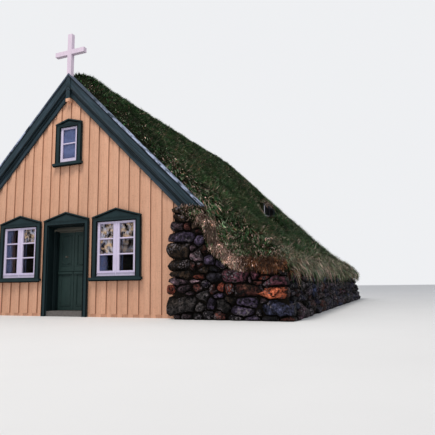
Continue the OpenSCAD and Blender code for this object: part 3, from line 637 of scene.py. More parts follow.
def sod_piece(name, side):
    """Closed net of the turf: an upper and a lower surface over the same columns and rows.

    Past the gables only the cells over the wings are there. The upper surface
    is open where the roof window's pane stands, and the lower one over its
    well. The rim closes every edge that only one cell has.
    """
    depth, x = np.meshgrid(SOD_ROWS, SOD_X, indexing="ij")
    rows, cols = x.shape
    flat_x, flat_d = x.ravel(), depth.ravel()
    high = sod_height(flat_x, flat_d, side)
    under_roof = (flat_x <= EAVES_X) & (nearer(flat_d) >= BARGE_BACK - SLACK)
    low = np.where(under_roof, SARK_C - flat_x, stone_top(np.minimum(flat_x, TOP_X), flat_d) - 0.05)
    low = np.minimum(low, high - 0.01)
    points = np.concatenate([np.stack([side * flat_x, flat_d - FACE, z], -1) for z in (high, low)])

    quads = grid_quads(rows, cols)
    mid_x, mid_d = (SOD_X[1:] + SOD_X[:-1]) / 2, (SOD_ROWS[1:] + SOD_ROWS[:-1]) / 2
    mid_x, mid_d = np.broadcast_arrays(mid_x[None, :], mid_d[:, None])
    solid = (nearer(mid_d) > BARGE_BACK) | (mid_x > HALF_W + 0.15)
    along = (mid_d > LIGHT_D) & (mid_d < LIGHT_END) & (side > 0)
    pane = along & (abs(mid_x - LIGHT_X) < 0.006)
    well = along & (mid_x > LIGHT_X - LIGHT_BACK) & (mid_x < LIGHT_X)
    under = rows * cols
    faces = [quads[solid & ~pane], quads[solid & ~well][:, ::-1] + under]
    cells = np.pad(solid, 1)
    last_row, last_col = rows - 1, cols - 1
    for beside, p, q in ((cells[:last_row, 1:cols], 0, 1), (cells[1:rows, 2:], 1, 2),
                         (cells[2:, 1:cols], 2, 3), (cells[1:rows, :last_col], 3, 0)):
        edge = quads[solid & ~beside]
        faces.append(np.stack([edge[:, p] + under, edge[:, q] + under, edge[:, q], edge[:, p]], -1))
    faces = np.concatenate(faces)
    return new_piece(name, points, faces[:, ::-1] if side < 0 else faces, sod)


# Grass

# Colours of leaves, and how often each of the dry and the mossy ones comes
GREENS = np.array([linear(16, 42, 20), linear(38, 80, 40), linear(76, 118, 72), linear(164, 176, 148)])
STRAWS = np.array([linear(118, 100, 86), linear(186, 156, 142), linear(232, 200, 190), linear(126, 84, 66)])
MOSSES = np.array([linear(50, 30, 20), linear(108, 66, 42), linear(158, 106, 72), linear(44, 36, 20)])
STRAW_SHARES = [0.36, 0.3, 0.14, 0.2]
MOSS_SHARES = [0.34, 0.3, 0.16, 0.2]
# How far a leaf may reach from the middle of the model's foot, in x, y and z
REACH = np.array([4.86, 5.12, 5.85])
UP = np.array([0.0, 0.0, 1.0])

# Numbers of leaves; the right side and its front end are seen from near by
GRASS = {1: 185000, -1: 104000}
SIDE_FRINGE = {1: 18000, -1: 11500}
STRANDS = {1: 17000, -1: 9000}
NEAR_STRANDS = {1: 5000, -1: 2500}
TUFTS, NEAR_TUFTS = 5000, 9000
MOSS_LEAVES, NEAR_MOSS_LEAVES = 7000, 12000


def leaf_halves(way, width):
    """Half the width of each leaf, as a vector across it."""
    return unit(np.cross(way, UP + 0.3 * way[:, ::-1])) * (width / 2)[:, None]


def leaf_mesh(name, corners, faces, shades, tint):
    """One mesh of leaves from their corners (n, k, 3), kept within REACH, each corner with its painted shade.
    """
    points = np.clip(np.stack(corners, 1), -REACH, REACH).reshape(-1, 3)
    shade = np.array(shades)[None, :, None] * tint[:, None]
    return new_piece(name, points, faces, grass_leaf, tint=shade.reshape(-1, 3))


def blades(name, root, way, droop, length, width, tint):
    """Straight leaves, a triangle each, dark at the root as painted shade down in the sward, and pale at the
    tip.
    """
    across = leaf_halves(way, width)
    tip = root + way * length[:, None] - UP * (droop * length)[:, None]
    faces = np.arange(3 * len(root)).reshape(-1, 3)
    return leaf_mesh(name, [root - across, root + across, tip], faces, [0.4, 0.4, 1.3], tint)


def bent_blades(name, root, way, droop, length, width, tint):
    """Leaves with a knee: four points to 0.55 of the length and one at the tip.

    A leaf starts along `way`; its knee sinks by a quarter of droop times its
    length, and its tip by all of it.
    """
    down = UP * (droop * length)[:, None]
    across = leaf_halves(way, width)
    knee = root + way * (0.55 * length)[:, None] - 0.25 * down
    tip = root + way * (0.85 * length)[:, None] - down
    first = 5 * np.arange(len(root))[:, None]
    # Dark at the root and pale at the tip: painted shade down in the sward
    return leaf_mesh(name, [root - across, root + across, knee + 0.8 * across, knee - 0.8 * across, tip],
                     [first + np.array([0, 1, 2, 3]), first + np.array([3, 2, 4])],
                     [0.35, 0.35, 0.95, 0.95, 1.25], tint)


def leaf_tints(rng, dry, mossy):
    """A green, straw or rusty moss colour for each leaf, by the shares of its place."""
    is_dry = rng.random(len(dry)) < dry
    pick = rng.random(len(dry)) ** 1.4 * (len(GREENS) - 1)
    low = np.minimum(pick.astype(int), len(GREENS) - 2)
    green = mix(GREENS[low], GREENS[low + 1], (pick - low)[:, None])
    straw = STRAWS[rng.choice(len(STRAWS), len(dry), p=STRAW_SHARES)]
    moss = MOSSES[rng.choice(len(MOSSES), len(dry), p=MOSS_SHARES)]
    tint = np.where(is_dry[:, None], straw, green)
    return np.where((rng.random(len(dry)) < mossy)[:, None], moss, tint)


def dryness(x, depth, side):
    """Share of dead leaves: low on the slope, high on the shoulders, the verge and the lower edge."""
    near = nearer(depth)
    spot = on_plan(x, depth, side)
    shoulder = np.exp(-np.maximum(near + 0.15, 0) / 0.10) * np.clip((x - 2.5) / 0.3, 0, 1)
    verge = np.exp(-np.maximum(near - 0.07, 0) / 0.15) * np.clip((x - 1.2) / 1.5, 0, 1)
    foot = np.clip((x - 3.9) / 0.7, 0, 1) * np.clip((near + 0.1) / 0.8, 0.4, 1)
    patches = 0.12 * rough(spot, 0.9, 11) + 0.14 * rough(spot, 0.28, 12)
    return np.clip(0.06 + 0.75 * shoulder + 0.2 * verge + 0.3 * foot + patches, 0.02, 0.92)


def rusty(x):
    """Grows from 0 to 1 where the edge of a wing levels out; the moss is rusty past it."""
    return (x - 3.75) / 0.2


def mossiness(x, depth):
    """Share of rusty moss: at the ends of the turf, over the wings."""
    return 0.85 * np.exp(-np.maximum(nearer(depth) + 0.22, 0) / 0.11) * np.clip(rusty(x), 0.12, 1)


def slope_frame(x, depth, side):
    """Height of the turf, its outward direction and its two slopes at points of one side."""
    step = 0.02
    z = sod_height(x, depth, side)
    slope_x = np.clip((sod_height(x + step, depth, side) - z) / step, -3, 3)
    slope_d = np.clip((sod_height(x, depth + step, side) - z) / step, -3, 3)
    return z, unit(np.stack([-slope_x, -slope_d, np.ones_like(x)], -1)), slope_x, slope_d


def sow(name, side, count, seed, make, across, along, length, width, upright=0.55, dry=None,
        droop=(0.0, 0.3), bright=1.0):
    """Leaves evenly over part of a slope, combed downhill, in tufts that lean together.

    `across` and `along` are the part's ranges of x and depth. Of the places tried
    there, steep ones are kept more often, by their true area. A leaf points
    `upright` out of the turf, 0.55 downhill and 0.6 with its tuft.
    """
    rng = np.random.default_rng(seed)
    steepest = 2.6
    tries = int(count * 2.8)
    x = rng.uniform(*across, tries)
    depth = rng.uniform(*along, tries)
    z, out, slope_x, slope_d = slope_frame(x, depth, side)
    near = nearer(depth)
    area = np.sqrt(1 + slope_x ** 2 + slope_d ** 2)
    on_wing = (x > EAVES_X) | ((near < -0.1) & (x > HALF_W + 0.17))
    kept = (rng.random(tries) < area / steepest) & ((near > 0.085) | on_wing)
    kept &= ~((x > LIGHT_X - 0.01) & (x < LIGHT_X + 0.16) & (side > 0)
              & (depth > LIGHT_D - 0.04) & (depth < LIGHT_END + 0.04))
    index = np.flatnonzero(kept)[:count]
    x, depth, z, out, slope_x, slope_d = (v[index] for v in (x, depth, z, out, slope_x, slope_d))
    fall = unit(np.stack([-slope_x, -slope_d, -slope_x ** 2 - slope_d ** 2], -1))
    spot = np.stack([x * side, depth, z], -1)
    tuft = np.stack([rough(spot, 0.14, seed + k) for k in (1, 2, 3)], -1)
    way = unit(out * upright + fall * 0.55 + 0.6 * tuft + 0.3 * rng.normal(size=(len(x), 3)))
    root = np.stack([x, depth - FACE, z], -1) - 0.012 * out
    clump = rough(spot, 0.12, seed + 5)
    size = rng.uniform(*length, len(x)) * (1 + 0.4 * clump) * np.clip(0.6 + 0.4 * (x - 1.5) / 1.5, 0.6, 1)
    if side > 0:
        bare = (np.abs(from_trough(x, depth)) < 0.4) & (depth < LIGHT_D + 0.1) & (depth > LIGHT_D - 2.0)
        size = np.where(bare, 0.5 * size, size)
    share = dryness(x, depth, side) if dry is None else np.full(len(x), dry)
    shade = np.exp(0.8 * rough(spot, 0.06, seed + 6) + 0.4 * rough(spot, 0.28, seed + 7)
                   + 0.5 * rng.normal(size=len(x)) - 0.1)
    tint = leaf_tints(rng, share, mossiness(x, depth)) * shade[:, None] * bright
    mirror = np.array([side, 1, 1])
    return make(name, root * mirror, way * mirror, rng.uniform(*droop, len(x)), size,
                rng.uniform(*width, len(x)), tint)


def tube_faces(steps, around):
    """Quads of a tube of rings, and the fans that close it to two points kept after the rings."""
    row, col = np.meshgrid(np.arange(steps - 1), np.arange(around), indexing="ij")
    here, after = row * around + col, row * around + (col + 1) % around
    quads = np.stack([here, after, after + around, here + around], -1).reshape(-1, 4)
    first = np.arange(around)
    after = (first + 1) % around
    count, last = steps * around, (steps - 1) * around
    caps = np.concatenate([np.stack([0 * first + count, after, first], -1),
                           np.stack([0 * first + count + 1, last + first, last + after], -1)])
    return quads, caps


def moss_roll(name, side, end, seed):
    """Lumpy roll of moss and dead grass on the top edge of a wing.

    A tube is carried along the edge: at v along it and u round it, its radius is
    thick * (1 - (2v - 1)^8)^0.5 with lumps. Short leaves stand all over it.
    """
    rng = np.random.default_rng(seed)
    around, steps, thick, start = 26, 110, 0.085, 2.93

    def surface(u, v):
        """Points of the tube, their directions outwards and their x."""
        x = mix(start, TOP_X + 0.05, v)
        fall = (wing_top(x + 0.06) - wing_top(x - 0.06)) / 0.12
        across = unit(np.stack([-fall, np.ones_like(x)], -1))
        spot = np.stack([x * side, np.cos(u) * 0.12 + end, np.sin(u) * 0.12 + 5 * v], -1)
        radius = thick * np.sqrt(np.maximum(0.02, 1 - (2 * v - 1) ** 8))
        radius = radius * (1 + 0.3 * rough(spot, 0.22, seed) + 0.28 * rough(spot, 0.09, seed + 1))
        way = np.stack([across[..., 0] * np.sin(u), end * 0.8 * np.cos(u), across[..., 1] * np.sin(u)], -1)
        lift = 0.11 - 0.05 * np.clip((x - 3.45) / 0.4, 0, 1)
        middle = np.stack([x + across[..., 0] * lift, end * (FACE + WING - 0.035) + 0 * x,
                           wing_top(x) + across[..., 1] * lift], -1)
        return middle + radius[..., None] * way, way, x

    v, u = np.meshgrid(np.linspace(0, 1, steps), np.arange(around) * 2 * np.pi / around, indexing="ij")
    net, _, _ = surface(u.ravel(), v.ravel())
    quads, caps = tube_faces(steps, around)
    if side * end > 0:
        quads, caps = quads[:, ::-1], caps[:, ::-1]
    mirror = np.array([side, 1, 1])
    points = np.concatenate([net, [net[:around].mean(0), net[-around:].mean(0)]]) * mirror
    shade = np.exp(0.6 * rough(points, 0.07, seed + 2))[:, None]
    rust = np.clip(rusty(points[:, :1] * side), 0, 1)
    new_piece(name, points, [quads, caps], grass_leaf,
              tint=mix(linear(66, 52, 42), linear(58, 38, 26), rust) * shade)

    count = NEAR_MOSS_LEAVES if side > 0 > end else MOSS_LEAVES
    u, v = rng.uniform(-1.2, 2.4, count), rng.uniform(0.01, 0.99, count)
    root, way, x = surface(u, v)
    way = unit(way + 0.75 * rng.normal(size=(count, 3)) - 0.25 * UP)
    shade = np.exp(1.3 * rough(root, 0.07, seed + 3) + 0.5 * rng.normal(size=count))[:, None]
    tint = leaf_tints(rng, np.full(count, 0.9), 0.92 * np.clip(rusty(x), 0, 1)) * shade
    bent_blades(name + "_leaves", root * mirror, way * mirror, rng.uniform(0.0, 0.7, count),
                rng.uniform(0.03, 0.075, count), rng.uniform(0.004, 0.009, count), tint)


# Stones

# A stone's edge is found along RAYS rays and has SIDES straight sides, and CUTS planes flatten its face.
# Its edge is drawn back by JOINT and lies SINK behind the face of the wall
RAYS = 28
SIDES = 7
CUTS = 7
JOINT = 0.015
SINK = 0.03
# Shares of the way to the edge, or past it, at which the rings of its face and of its body lie
FACE_RINGS = np.array([0.28, 0.55, 0.78, 0.92, 1.0])
BODY_RINGS = np.array([1.02, 0.97])
RINGS = np.concatenate([FACE_RINGS, BODY_RINGS])
# Painted shade of a stone, light at its crown and dark towards its edge and heel: at its crown, on its rings
# from the inmost to the hindmost, and at its heel
SHADES = np.concatenate([[1.45], np.repeat([1.4, 1.25, 1.0, 0.65, 0.25, 0.12, 0.1], RAYS), [0.1]])
# Share of its colour that the stone of the long sides keeps: painted shade under the overhanging grass
SHADED_SIDE = np.array([0.36, 0.42, 0.50])
MOSS = linear(46, 36, 22)
# Colours of the kinds of stone, and how often the usual ones come
KINDS = {"slate": (54, 46, 62), "ash": (68, 54, 60), "umber": (64, 36, 32), "plum": (96, 58, 68),
         "rust": (112, 56, 44), "orange": (149, 78, 54), "pale": (128, 106, 114), "bluegrey": (60, 62, 84),
         "dark": (26, 24, 30), "moss": (44, 34, 26), "lichen": (56, 52, 52)}
USUAL = ["slate", "ash", "umber", "plum", "rust", "pale", "bluegrey", "dark", "moss", "lichen"]
USUAL_SHARE = [0.18, 0.13, 0.2, 0.1, 0.04, 0.03, 0.1, 0.12, 0.05, 0.05]

# Stones of the right front wing as they are laid, from the top course down:
# middle x and z, width and height in centimetres, and kind
WING_STONES = (
    (269, 193, 32, 14, "moss"), (296, 190, 27, 16, "moss"),
    (268, 177, 28, 13, "moss"), (294, 175, 23, 16, "moss"), (313, 179, 13, 14, "moss"),
    (263, 160, 22, 17, "ash"), (280, 159, 14, 15, "umber"), (300, 160, 23, 17, "moss"),
    (272, 142, 48, 17, "slate"), (303, 135, 16, 18, "slate"), (302, 151, 19, 9, "umber"),
    (266, 119, 40, 26, "moss"), (291, 121, 12, 14, "ash"), (312, 118, 15, 15, "umber"),
    (299, 107, 25, 21, "pale"), (322, 102, 22, 14, "slate"), (338, 107, 14, 7, "pale"),
    (266, 92, 38, 20, "moss"), (291, 92, 10, 16, "umber"), (304, 92, 13, 12, "umber"),
    (344, 93, 20, 16, "slate"), (361, 91, 13, 12, "plum"), (377, 88, 20, 9, "moss"),
    (403, 87, 24, 9, "moss"),
    (268, 77, 38, 11, "moss"), (312, 84, 19, 11, "moss"), (331, 84, 22, 9, "dark"),
    (387, 84, 17, 5, "pale"), (426, 81, 33, 14, "umber"), (447, 78, 13, 14, "dark"),
    (304, 72, 24, 7, "rust"), (330, 72, 25, 20, "dark"),
    (368, 72, 46, 23, "plum"), (394, 66, 5, 14, "pale"), (402, 73, 12, 16, "plum"),
    (418, 69, 23, 7, "rust"),
    (265, 65, 38, 11, "ash"), (296, 65, 28, 5, "pale"), (315, 61, 18, 12, "slate"),
    (407, 61, 19, 8, "umber"), (436, 62, 41, 15, "plum"),
    (250, 51, 16, 17, "rust"), (273, 53, 30, 14, "ash"), (298, 54, 16, 18, "umber"),
    (329, 51, 18, 20, "umber"), (342, 54, 14, 16, "rust"), (358, 51, 18, 20, "rust"),
    (388, 50, 41, 22, "umber"),
    (284, 44, 19, 7, "ash"), (312, 40, 22, 17, "lichen"),
    (337, 40, 22, 10, "slate"), (434, 43, 46, 19, "orange"),
    (270, 24, 52, 30, "lichen"), (325, 28, 18, 20, "slate"), (358, 33, 19, 13, "moss"),
    (389, 30, 41, 18, "slate"), (416, 32, 15, 12, "ash"),
    (304, 20, 18, 17, "lichen"), (346, 25, 25, 23, "lichen"),
    (441, 20, 57, 23, "bluegrey"),
    (261, 5, 15, 10, "ash"), (279, 7, 26, 11, "ash"), (300, 7, 15, 10, "dark"),
    (317, 10, 22, 10, "dark"), (381, 14, 45, 14, "slate"), (408, 13, 10, 11, "dark"),
    (340, 7, 22, 12, "umber"), (366, 4, 26, 7, "dark"), (398, 4, 26, 7, "slate"), (428, 4, 30, 8, "dark"),
    (455, 4, 24, 8, "umber"),
)


# Largest stones of the other wings, as the solids have them: distance of the middle from the
# gable's edge, its height, width and height of the stone in millimetres
LARGE = ((170, 1430, 420, 150), (160, 1100, 380, 150), (490, 1080, 250, 210), (800, 720, 250, 200),
         (1180, 710, 460, 220), (1850, 620, 400, 150), (220, 530, 320, 150), (790, 510, 340, 200),
         (1380, 500, 410, 220), (1840, 430, 450, 190), (1390, 300, 410, 180), (210, 250, 500, 280),
         (1890, 200, 550, 230))
# The same along a side: distance up the leaning face, width and height, used in turn
FOOT_STONES = ((160, 620, 270), (180, 470, 310), (150, 560, 240))
UPPER_STONES = ((520, 440, 230), (560, 520, 200), (500, 360, 260))
FOOT_COUNT = 10


def stone_sides(rng, half):
    """Directions (n, SIDES, 2) and distances (n, SIDES) of the straight sides of each stone.

    A side's distance is what a rounded block of the stone's half width and
    half height reaches in that direction, a tenth more or less.
    """
    turn = rng.uniform(0, 2 * math.pi, (len(half), 1))
    angle = turn + 2 * math.pi * (np.arange(SIDES) + rng.uniform(-0.3, 0.3, (len(half), SIDES))) / SIDES
    side = np.stack([np.cos(angle), np.sin(angle)], -1)
    blocky = rng.uniform(1.1, 1.7, (len(half), 1))
    reach = ((np.abs(side) * half[:, None]) ** blocky[..., None]).sum(-1) ** (1 / blocky)
    return side, reach * rng.uniform(0.85, 1.08, reach.shape)


def stone_measure(offset, side, reach):
    """How far out of a stone points are, 1 on its edge: the greatest share of any side's distance.

    The greatest is softened to the sixteenth root of the sum of sixteenth
    powers, which rounds the corners a little.
    """
    share = np.maximum(np.einsum("nrsi,nki->nrsk", offset, side) / reach[:, None, None], 0) ** 4
    return ((share ** 2) ** 2).sum(-1) ** 0.0625


def outlines(rng, middle, half, allowed):
    """Lengths of the rays from each stone's middle to its edge, (n, RAYS), and the rays' directions.

    A ray ends where one of the twelve nearest stones claims the place more,
    where the face of the wall ends, or at 1.4 of the stone's own size.
    """
    angle = np.linspace(0, 2 * math.pi, RAYS, endpoint=False)
    way = np.stack([np.cos(angle), np.sin(angle)], -1)
    side, reach = stone_sides(rng, half)
    own = 1 / stone_measure(np.broadcast_to(way[None, :, None], (len(half), RAYS, 1, 2)), side, reach)
    steps = np.linspace(0.06, 1.4, 40)
    points = middle[:, None, None] + (own * steps)[..., None] * way[None, :, None]
    apart = np.linalg.norm(middle[:, None] - middle[None], axis=-1)
    near = np.argsort(apart, axis=1)[:, 1:13]
    free = allowed(points[..., 0], points[..., 1])
    for other in near.T:
        free &= stone_measure(points - middle[other][:, None, None], side[other], reach[other]) > steps
    reached = np.cumprod(free, axis=2).sum(2)
    length = own[..., 0] * np.where(reached > 0, steps[np.maximum(reached - 1, 0)], 0)
    return 0.12 * np.roll(length, 1, 1) + 0.76 * length + 0.12 * np.roll(length, -1, 1), way


def stone_relief(rng, half, local, deep):
    """How far each ring of each stone stands out of the wall, (n, rings, RAYS).

    At a share s of the way to its edge a stone stands at proud * (1 - s ** p), p
    from 2 on a round stone to 6 on a flat one, and proud is 16 mm and a third of
    its smaller half size, more or less. It is tilted a little, and slanting cuts
    flatten it. Its body then runs `deep` into the wall.
    """
    count, face = len(half), len(FACE_RINGS)
    proud = (0.016 + 0.34 * np.minimum(half.min(1), 0.11)) * rng.uniform(0.65, 1.3, count)
    power = rng.uniform(2.0, 6.0, (count, 1, 1))
    rise = np.zeros((count, len(RINGS), RAYS))
    rise[:, :face] = (SINK + proud)[:, None, None] * (1 - FACE_RINGS[:, None] ** power) - SINK
    rise[:, face:] = -np.array([0.5, 1.0])[:, None] * deep
    tilt = rng.normal(size=(count, 2)) * 0.22 * proud[:, None]
    rise[:, :face] += (local[:, :face] * tilt[:, None, None]).sum(-1)
    for _ in range(CUTS):
        lean = rng.normal(size=(count, 2)) * 1.1 * proud[:, None]
        level = (proud * rng.uniform(0.7, 1.1, count))[:, None, None]
        rise[:, :face] = np.minimum(rise[:, :face], level + (local[:, :face] * lean[:, None, None]).sum(-1))
    return rise


def stone_tints(rng, points, kinds, middle, half):
    """Colour of every point: the kind of its stone, uneven and mossy above, with painted shade that is light
    at the crown and dark towards the joints.
    """
    count, per = len(kinds), len(SHADES)
    bright = np.exp(0.34 * rng.normal(size=(count, 1)) + 0.14)
    tint = np.repeat(np.array([linear(*KINDS[k]) for k in kinds]) * bright, per, axis=0)
    tint = tint * (1 + 0.45 * rough(points, 0.10, 23) + 0.25 * rough(points, 0.04, 24))[:, None]
    above = (points[:, 1] - np.repeat(middle[:, 1], per)) / np.repeat(half[:, 1], per)
    growth = np.clip(0.8 * rough(points, 0.28, 25) + 0.3 * above - 0.25, 0, 0.7)
    # Times the painted shade: light at the crown, dark towards the edge and in the joints
    return mix(tint, MOSS * 0.8, growth[:, None]) * np.tile(SHADES, count)[:, None]


def stone_faces(count):
    """Fans of the crowns and heels, and quads between the rings, of `count` stones."""
    ray = np.arange(RAYS)
    after = (ray + 1) % RAYS
    last, heel = (len(RINGS) - 1) * RAYS, len(SHADES) - 1
    caps = np.concatenate([np.stack([0 * ray, 1 + ray, 1 + after], -1),
                           np.stack([0 * ray + heel, 1 + last + after, 1 + last + ray], -1)])
    ring = 1 + RAYS * np.arange(len(RINGS) - 1)[:, None]
    rings = np.stack([ring + ray, ring + RAYS + ray, ring + RAYS + after, ring + after], -1).reshape(-1, 4)
    base = (len(SHADES) * np.arange(count))[:, None, None]
    return (caps + base).reshape(-1, 3), (rings + base).reshape(-1, 4)


def stone_mesh(rng, stones, allowed, plane, deep):
    """Fitted, faceted stones on one face of a wall, each closed at the back.

    A stone is a crown, rings of points on its rays and a heel. `plane` gives
    the origin, and the directions along, up and out.
    """
    middle = np.array([s[:2] for s in stones], float)
    half = np.array([s[2:4] for s in stones], float)
    length, way = outlines(rng, middle, half, allowed)
    kept = length.mean(1) > 0.02
    middle, half, length = middle[kept], half[kept], np.maximum(length[kept] - JOINT, 0.006)
    kinds = np.array([s[4] for s in stones])[kept]
    count = len(middle)
    offset = (length[:, None] * RINGS[:, None])[..., None] * way
    rise = stone_relief(rng, half, offset / half[:, None, None], deep)
    crown = np.concatenate([middle, rise[:, 0].mean(1)[:, None]], 1)[:, None]
    heel = np.concatenate([middle, np.full((count, 1), -deep)], 1)[:, None]
    shell = np.concatenate([middle[:, None, None] + offset, rise[..., None]], -1).reshape(count, -1, 3)
    points = np.concatenate([crown, shell, heel], 1).reshape(-1, 3)
    uneven = 0.009 * rough(points, 0.09, 21) + 0.005 * rough(points, 0.035, 22)
    points[:, 2] += np.where(points[:, 2] > -deep + 0.01, uneven, 0)
    tint = stone_tints(rng, points, kinds, middle, half)
    origin, along, up, out = plane
    world = origin + points[:, :1] * along + points[:, 1:2] * up + points[:, 2:] * out
    world[:, 2] = np.maximum(world[:, 2], 0.001)
    caps, rings = stone_faces(count)
    if np.dot(np.cross(along, up), out) < 0:
        caps, rings = caps[:, ::-1], rings[:, ::-1]
    return world, caps, rings, tint


def courses(rng, start, end, top):
    """Stones laid in uneven courses from `start` to `end` under the height top(u); some are split in two."""
    stones, level = [], 0.0
    while level < top(np.linspace(start, end, 40)).max():
        height = rng.uniform(0.10, 0.20)
        u = start
        while u < end:
            width = rng.uniform(0.14, 0.40) * (0.75 + 1.6 * height)
            place = (u + width / 2, level + height / 2 + rng.uniform(-0.02, 0.02))
            split = rng.uniform(0.4, 0.6) if rng.random() < 0.25 and height > 0.13 else 1.0
            if place[1] - height * 0.3 < top(np.array([place[0]]))[0]:
                for low, part in ((0, split), (split, 1 - split)):
                    if part > 0:
                        stones.append((place[0], place[1] + height * (low + part / 2 - 0.5), width / 2,
                                       height * part / 2, rng.choice(USUAL, p=USUAL_SHARE)))
            u += width
        level += height
    return stones


def among(rng, large, small):
    """Large stones with a kind each, and those small ones whose middles lie outside them."""
    boxes = np.array(large) / 1000
    kinds = rng.choice(USUAL, len(boxes), p=USUAL_SHARE)
    laid = [(u, v, w / 2, h / 2, kind) for (u, v, w, h), kind in zip(boxes, kinds)]
    for stone in small:
        apart = np.abs(boxes[:, :2] - np.array(stone[:2])) - boxes[:, 2:] / 2
        if (apart.max(1) > 0.02).all():
            laid.append(stone)
    return laid


# Half the length of a stone wall and the inner edge of its wings. On its leaning face, measured from the
# middle and up the slope: its ends, its top, and the height that its courses reach
HALF_LEN = FACE + WING
INNER_X = HALF_W - WING_LAP
SIDE_END = HALF_LEN - 0.2
SIDE_TOP = 0.93
SIDE_COURSES = 0.86


def on_wing(u, v):
    """Whether a place on a wing's front is stone."""
    outer = np.where(v < 0.32, FOOT_X - 0.01 - 0.1 * v, np.minimum(TOP_X + 0.06, FOOT_X - 0.2 * v))
    return (u > INNER_X - 0.04) & (u < outer) & (v > 0.0) & (v < wing_top(u) + 0.02)


def on_side(u, v):
    """Whether a place on the long leaning face is stone; the wings' stones turn its corners."""
    return (np.abs(u) < SIDE_END) & (v > 0.0) & (v < SIDE_TOP)


def stone_wall(name, side, seed):
    """All stones of one wall: both wing fronts, which also turn the corners, and the long leaning side."""
    rng = np.random.default_rng(seed)
    lean = np.array([TOP_X - FOOT_X, 0, STONE_Z])
    lean_up = lean / np.linalg.norm(lean)
    pitch = 1000 * BODY_LEN / FOOT_COUNT
    large = [(1000 * HALF_W + s[0], *s[1:]) for s in LARGE]
    beside = [((k + 0.5) * pitch - 1000 * FACE, *FOOT_STONES[k % 3]) for k in range(FOOT_COUNT)]
    beside += [(k * pitch - 1000 * FACE, *UPPER_STONES[k % 3]) for k in range(1, FOOT_COUNT)]

    def wing_stones():
        """Stones of a wing that the photograph doesn't show: the solids' large ones with courses between."""
        return among(rng, large, courses(rng, INNER_X, FOOT_X, wing_top))

    if side > 0:
        front = [(x / 100, z / 100, w / 200, h / 200, kind) for x, z, w, h, kind in WING_STONES]
    else:
        front = wing_stones()
    back = wing_stones()
    flank = among(rng, beside, courses(rng, -SIDE_END, SIDE_END, lambda u: 0 * u + SIDE_COURSES))
    points, caps, rings, tints, total = [], [], [], [], 0
    for stones, allowed, plane, deep, shade in (
            (front, on_wing, ((0, -HALF_LEN, 0), (1, 0, 0), (0, 0, 1), (0, -1, 0)), WING - 0.005, 1.0),
            (back, on_wing, ((0, HALF_LEN, 0), (1, 0, 0), (0, 0, 1), (0, 1, 0)), WING - 0.005, 1.0),
            (flank, on_side, ((FOOT_X, 0, 0), (0, 1, 0), lean_up, (lean_up[2], 0, -lean_up[0])), 0.15,
             SHADED_SIDE)):
        mirrored = [np.asarray(v, float) * np.array([side, 1, 1]) for v in plane]
        world, cap, ring, tint = stone_mesh(rng, stones, allowed, mirrored, deep)
        points.append(world)
        caps.append(cap + total)
        rings.append(ring + total)
        tints.append(tint * shade)
        total += len(world)
    return new_piece(name, np.concatenate(points), [np.concatenate(caps), np.concatenate(rings)], dry_stone,
                     tint=np.concatenate(tints), sharp=50)


def wall_core(name, side):
    """Packed earth behind the stones: the stone wall's own shape, drawn in by a few centimetres."""
    inset = 0.07
    x = np.concatenate([[INNER_X + 0.12], np.linspace(2.6, EAVES_X, 6), np.linspace(3.1, TOP_X - inset, 16)])
    end = np.linspace(-0.1, 1.0, 10)
    depth = np.concatenate([[-WING + inset], end, np.linspace(1.5, BODY_LEN - 1.5, 8),
                            BODY_LEN - end[::-1], [BODY_LEN + WING - inset]])
    d, u = (v.ravel() for v in np.meshgrid(depth, x, indexing="ij"))
    u = np.where((u < HALF_W) & (nearer(d) > 0), HALF_W, u)
    foot_x = np.where(u > TOP_X - inset - 0.001, FOOT_X - inset, u)
    points = np.concatenate([np.stack([side * u, d - FACE, stone_top(u, d) - 0.03], -1),
                             np.stack([side * foot_x, d - FACE, 0 * u], -1)])
    faces = slab_faces(len(depth), len(x))
    return new_piece(name, points, faces[:, ::-1] if side < 0 else faces, earth_with_gap_shade,
                     smooth=False)


EDGE_X = TOP_X + 0.05
for side, hand, seed in ((1, "right", 40), (-1, "left", 60)):
    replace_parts(sod_piece("sod_" + hand, side), "turf_" + hand)
    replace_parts(stone_wall("stones_" + hand, side, seed), "stone_wall_" + hand)
    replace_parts(wall_core("stone_wall_core_" + hand, side), "stone_wall_" + hand)
    sow("grass_" + hand, side, GRASS[side], seed + 1, blades, (-0.12, TOP_X + 0.09),
        (-WING + 0.01, BODY_LEN + WING - 0.01), (0.07, 0.17), (0.008, 0.017))
    sow("side_fringe_" + hand, side, SIDE_FRINGE[side], seed + 2, bent_blades, (TOP_X - 0.32, TOP_X + 0.095),
        (-0.1, BODY_LEN + 0.1), (0.07, 0.25), (0.008, 0.015), upright=0.5, dry=0.45, droop=(0.3, 1.0))
    sow("strands_" + hand, side, STRANDS[side], seed + 5, blades, (0.1, EDGE_X), (-0.1, BODY_LEN + 0.1),
        (0.10, 0.20), (0.016, 0.028), upright=0.5, dry=0.3, bright=1.5)
    sow("near_strands_" + hand, side, NEAR_STRANDS[side], seed + 6, bent_blades, (2.2, EDGE_X), (-0.22, 1.7),
        (0.08, 0.16), (0.009, 0.018), upright=0.5, dry=0.35, droop=(0.0, 0.6), bright=1.4)
    for tag, end, along in (("front", -1, (-WING + 0.05, 0.1)),
                            ("back", 1, (BODY_LEN - 0.1, BODY_LEN + WING - 0.05))):
        count = NEAR_TUFTS if side > 0 > end else TUFTS
        sow(f"{tag}_tufts_{hand}", side, count, seed + 3, bent_blades, (HALF_W + 0.16, TOP_X + 0.08), along,
            (0.035, 0.11), (0.007, 0.014), upright=0.6, dry=0.3, droop=(0.1, 0.6))
        moss_roll(f"{tag}_moss_{hand}", side, end, seed + 4)

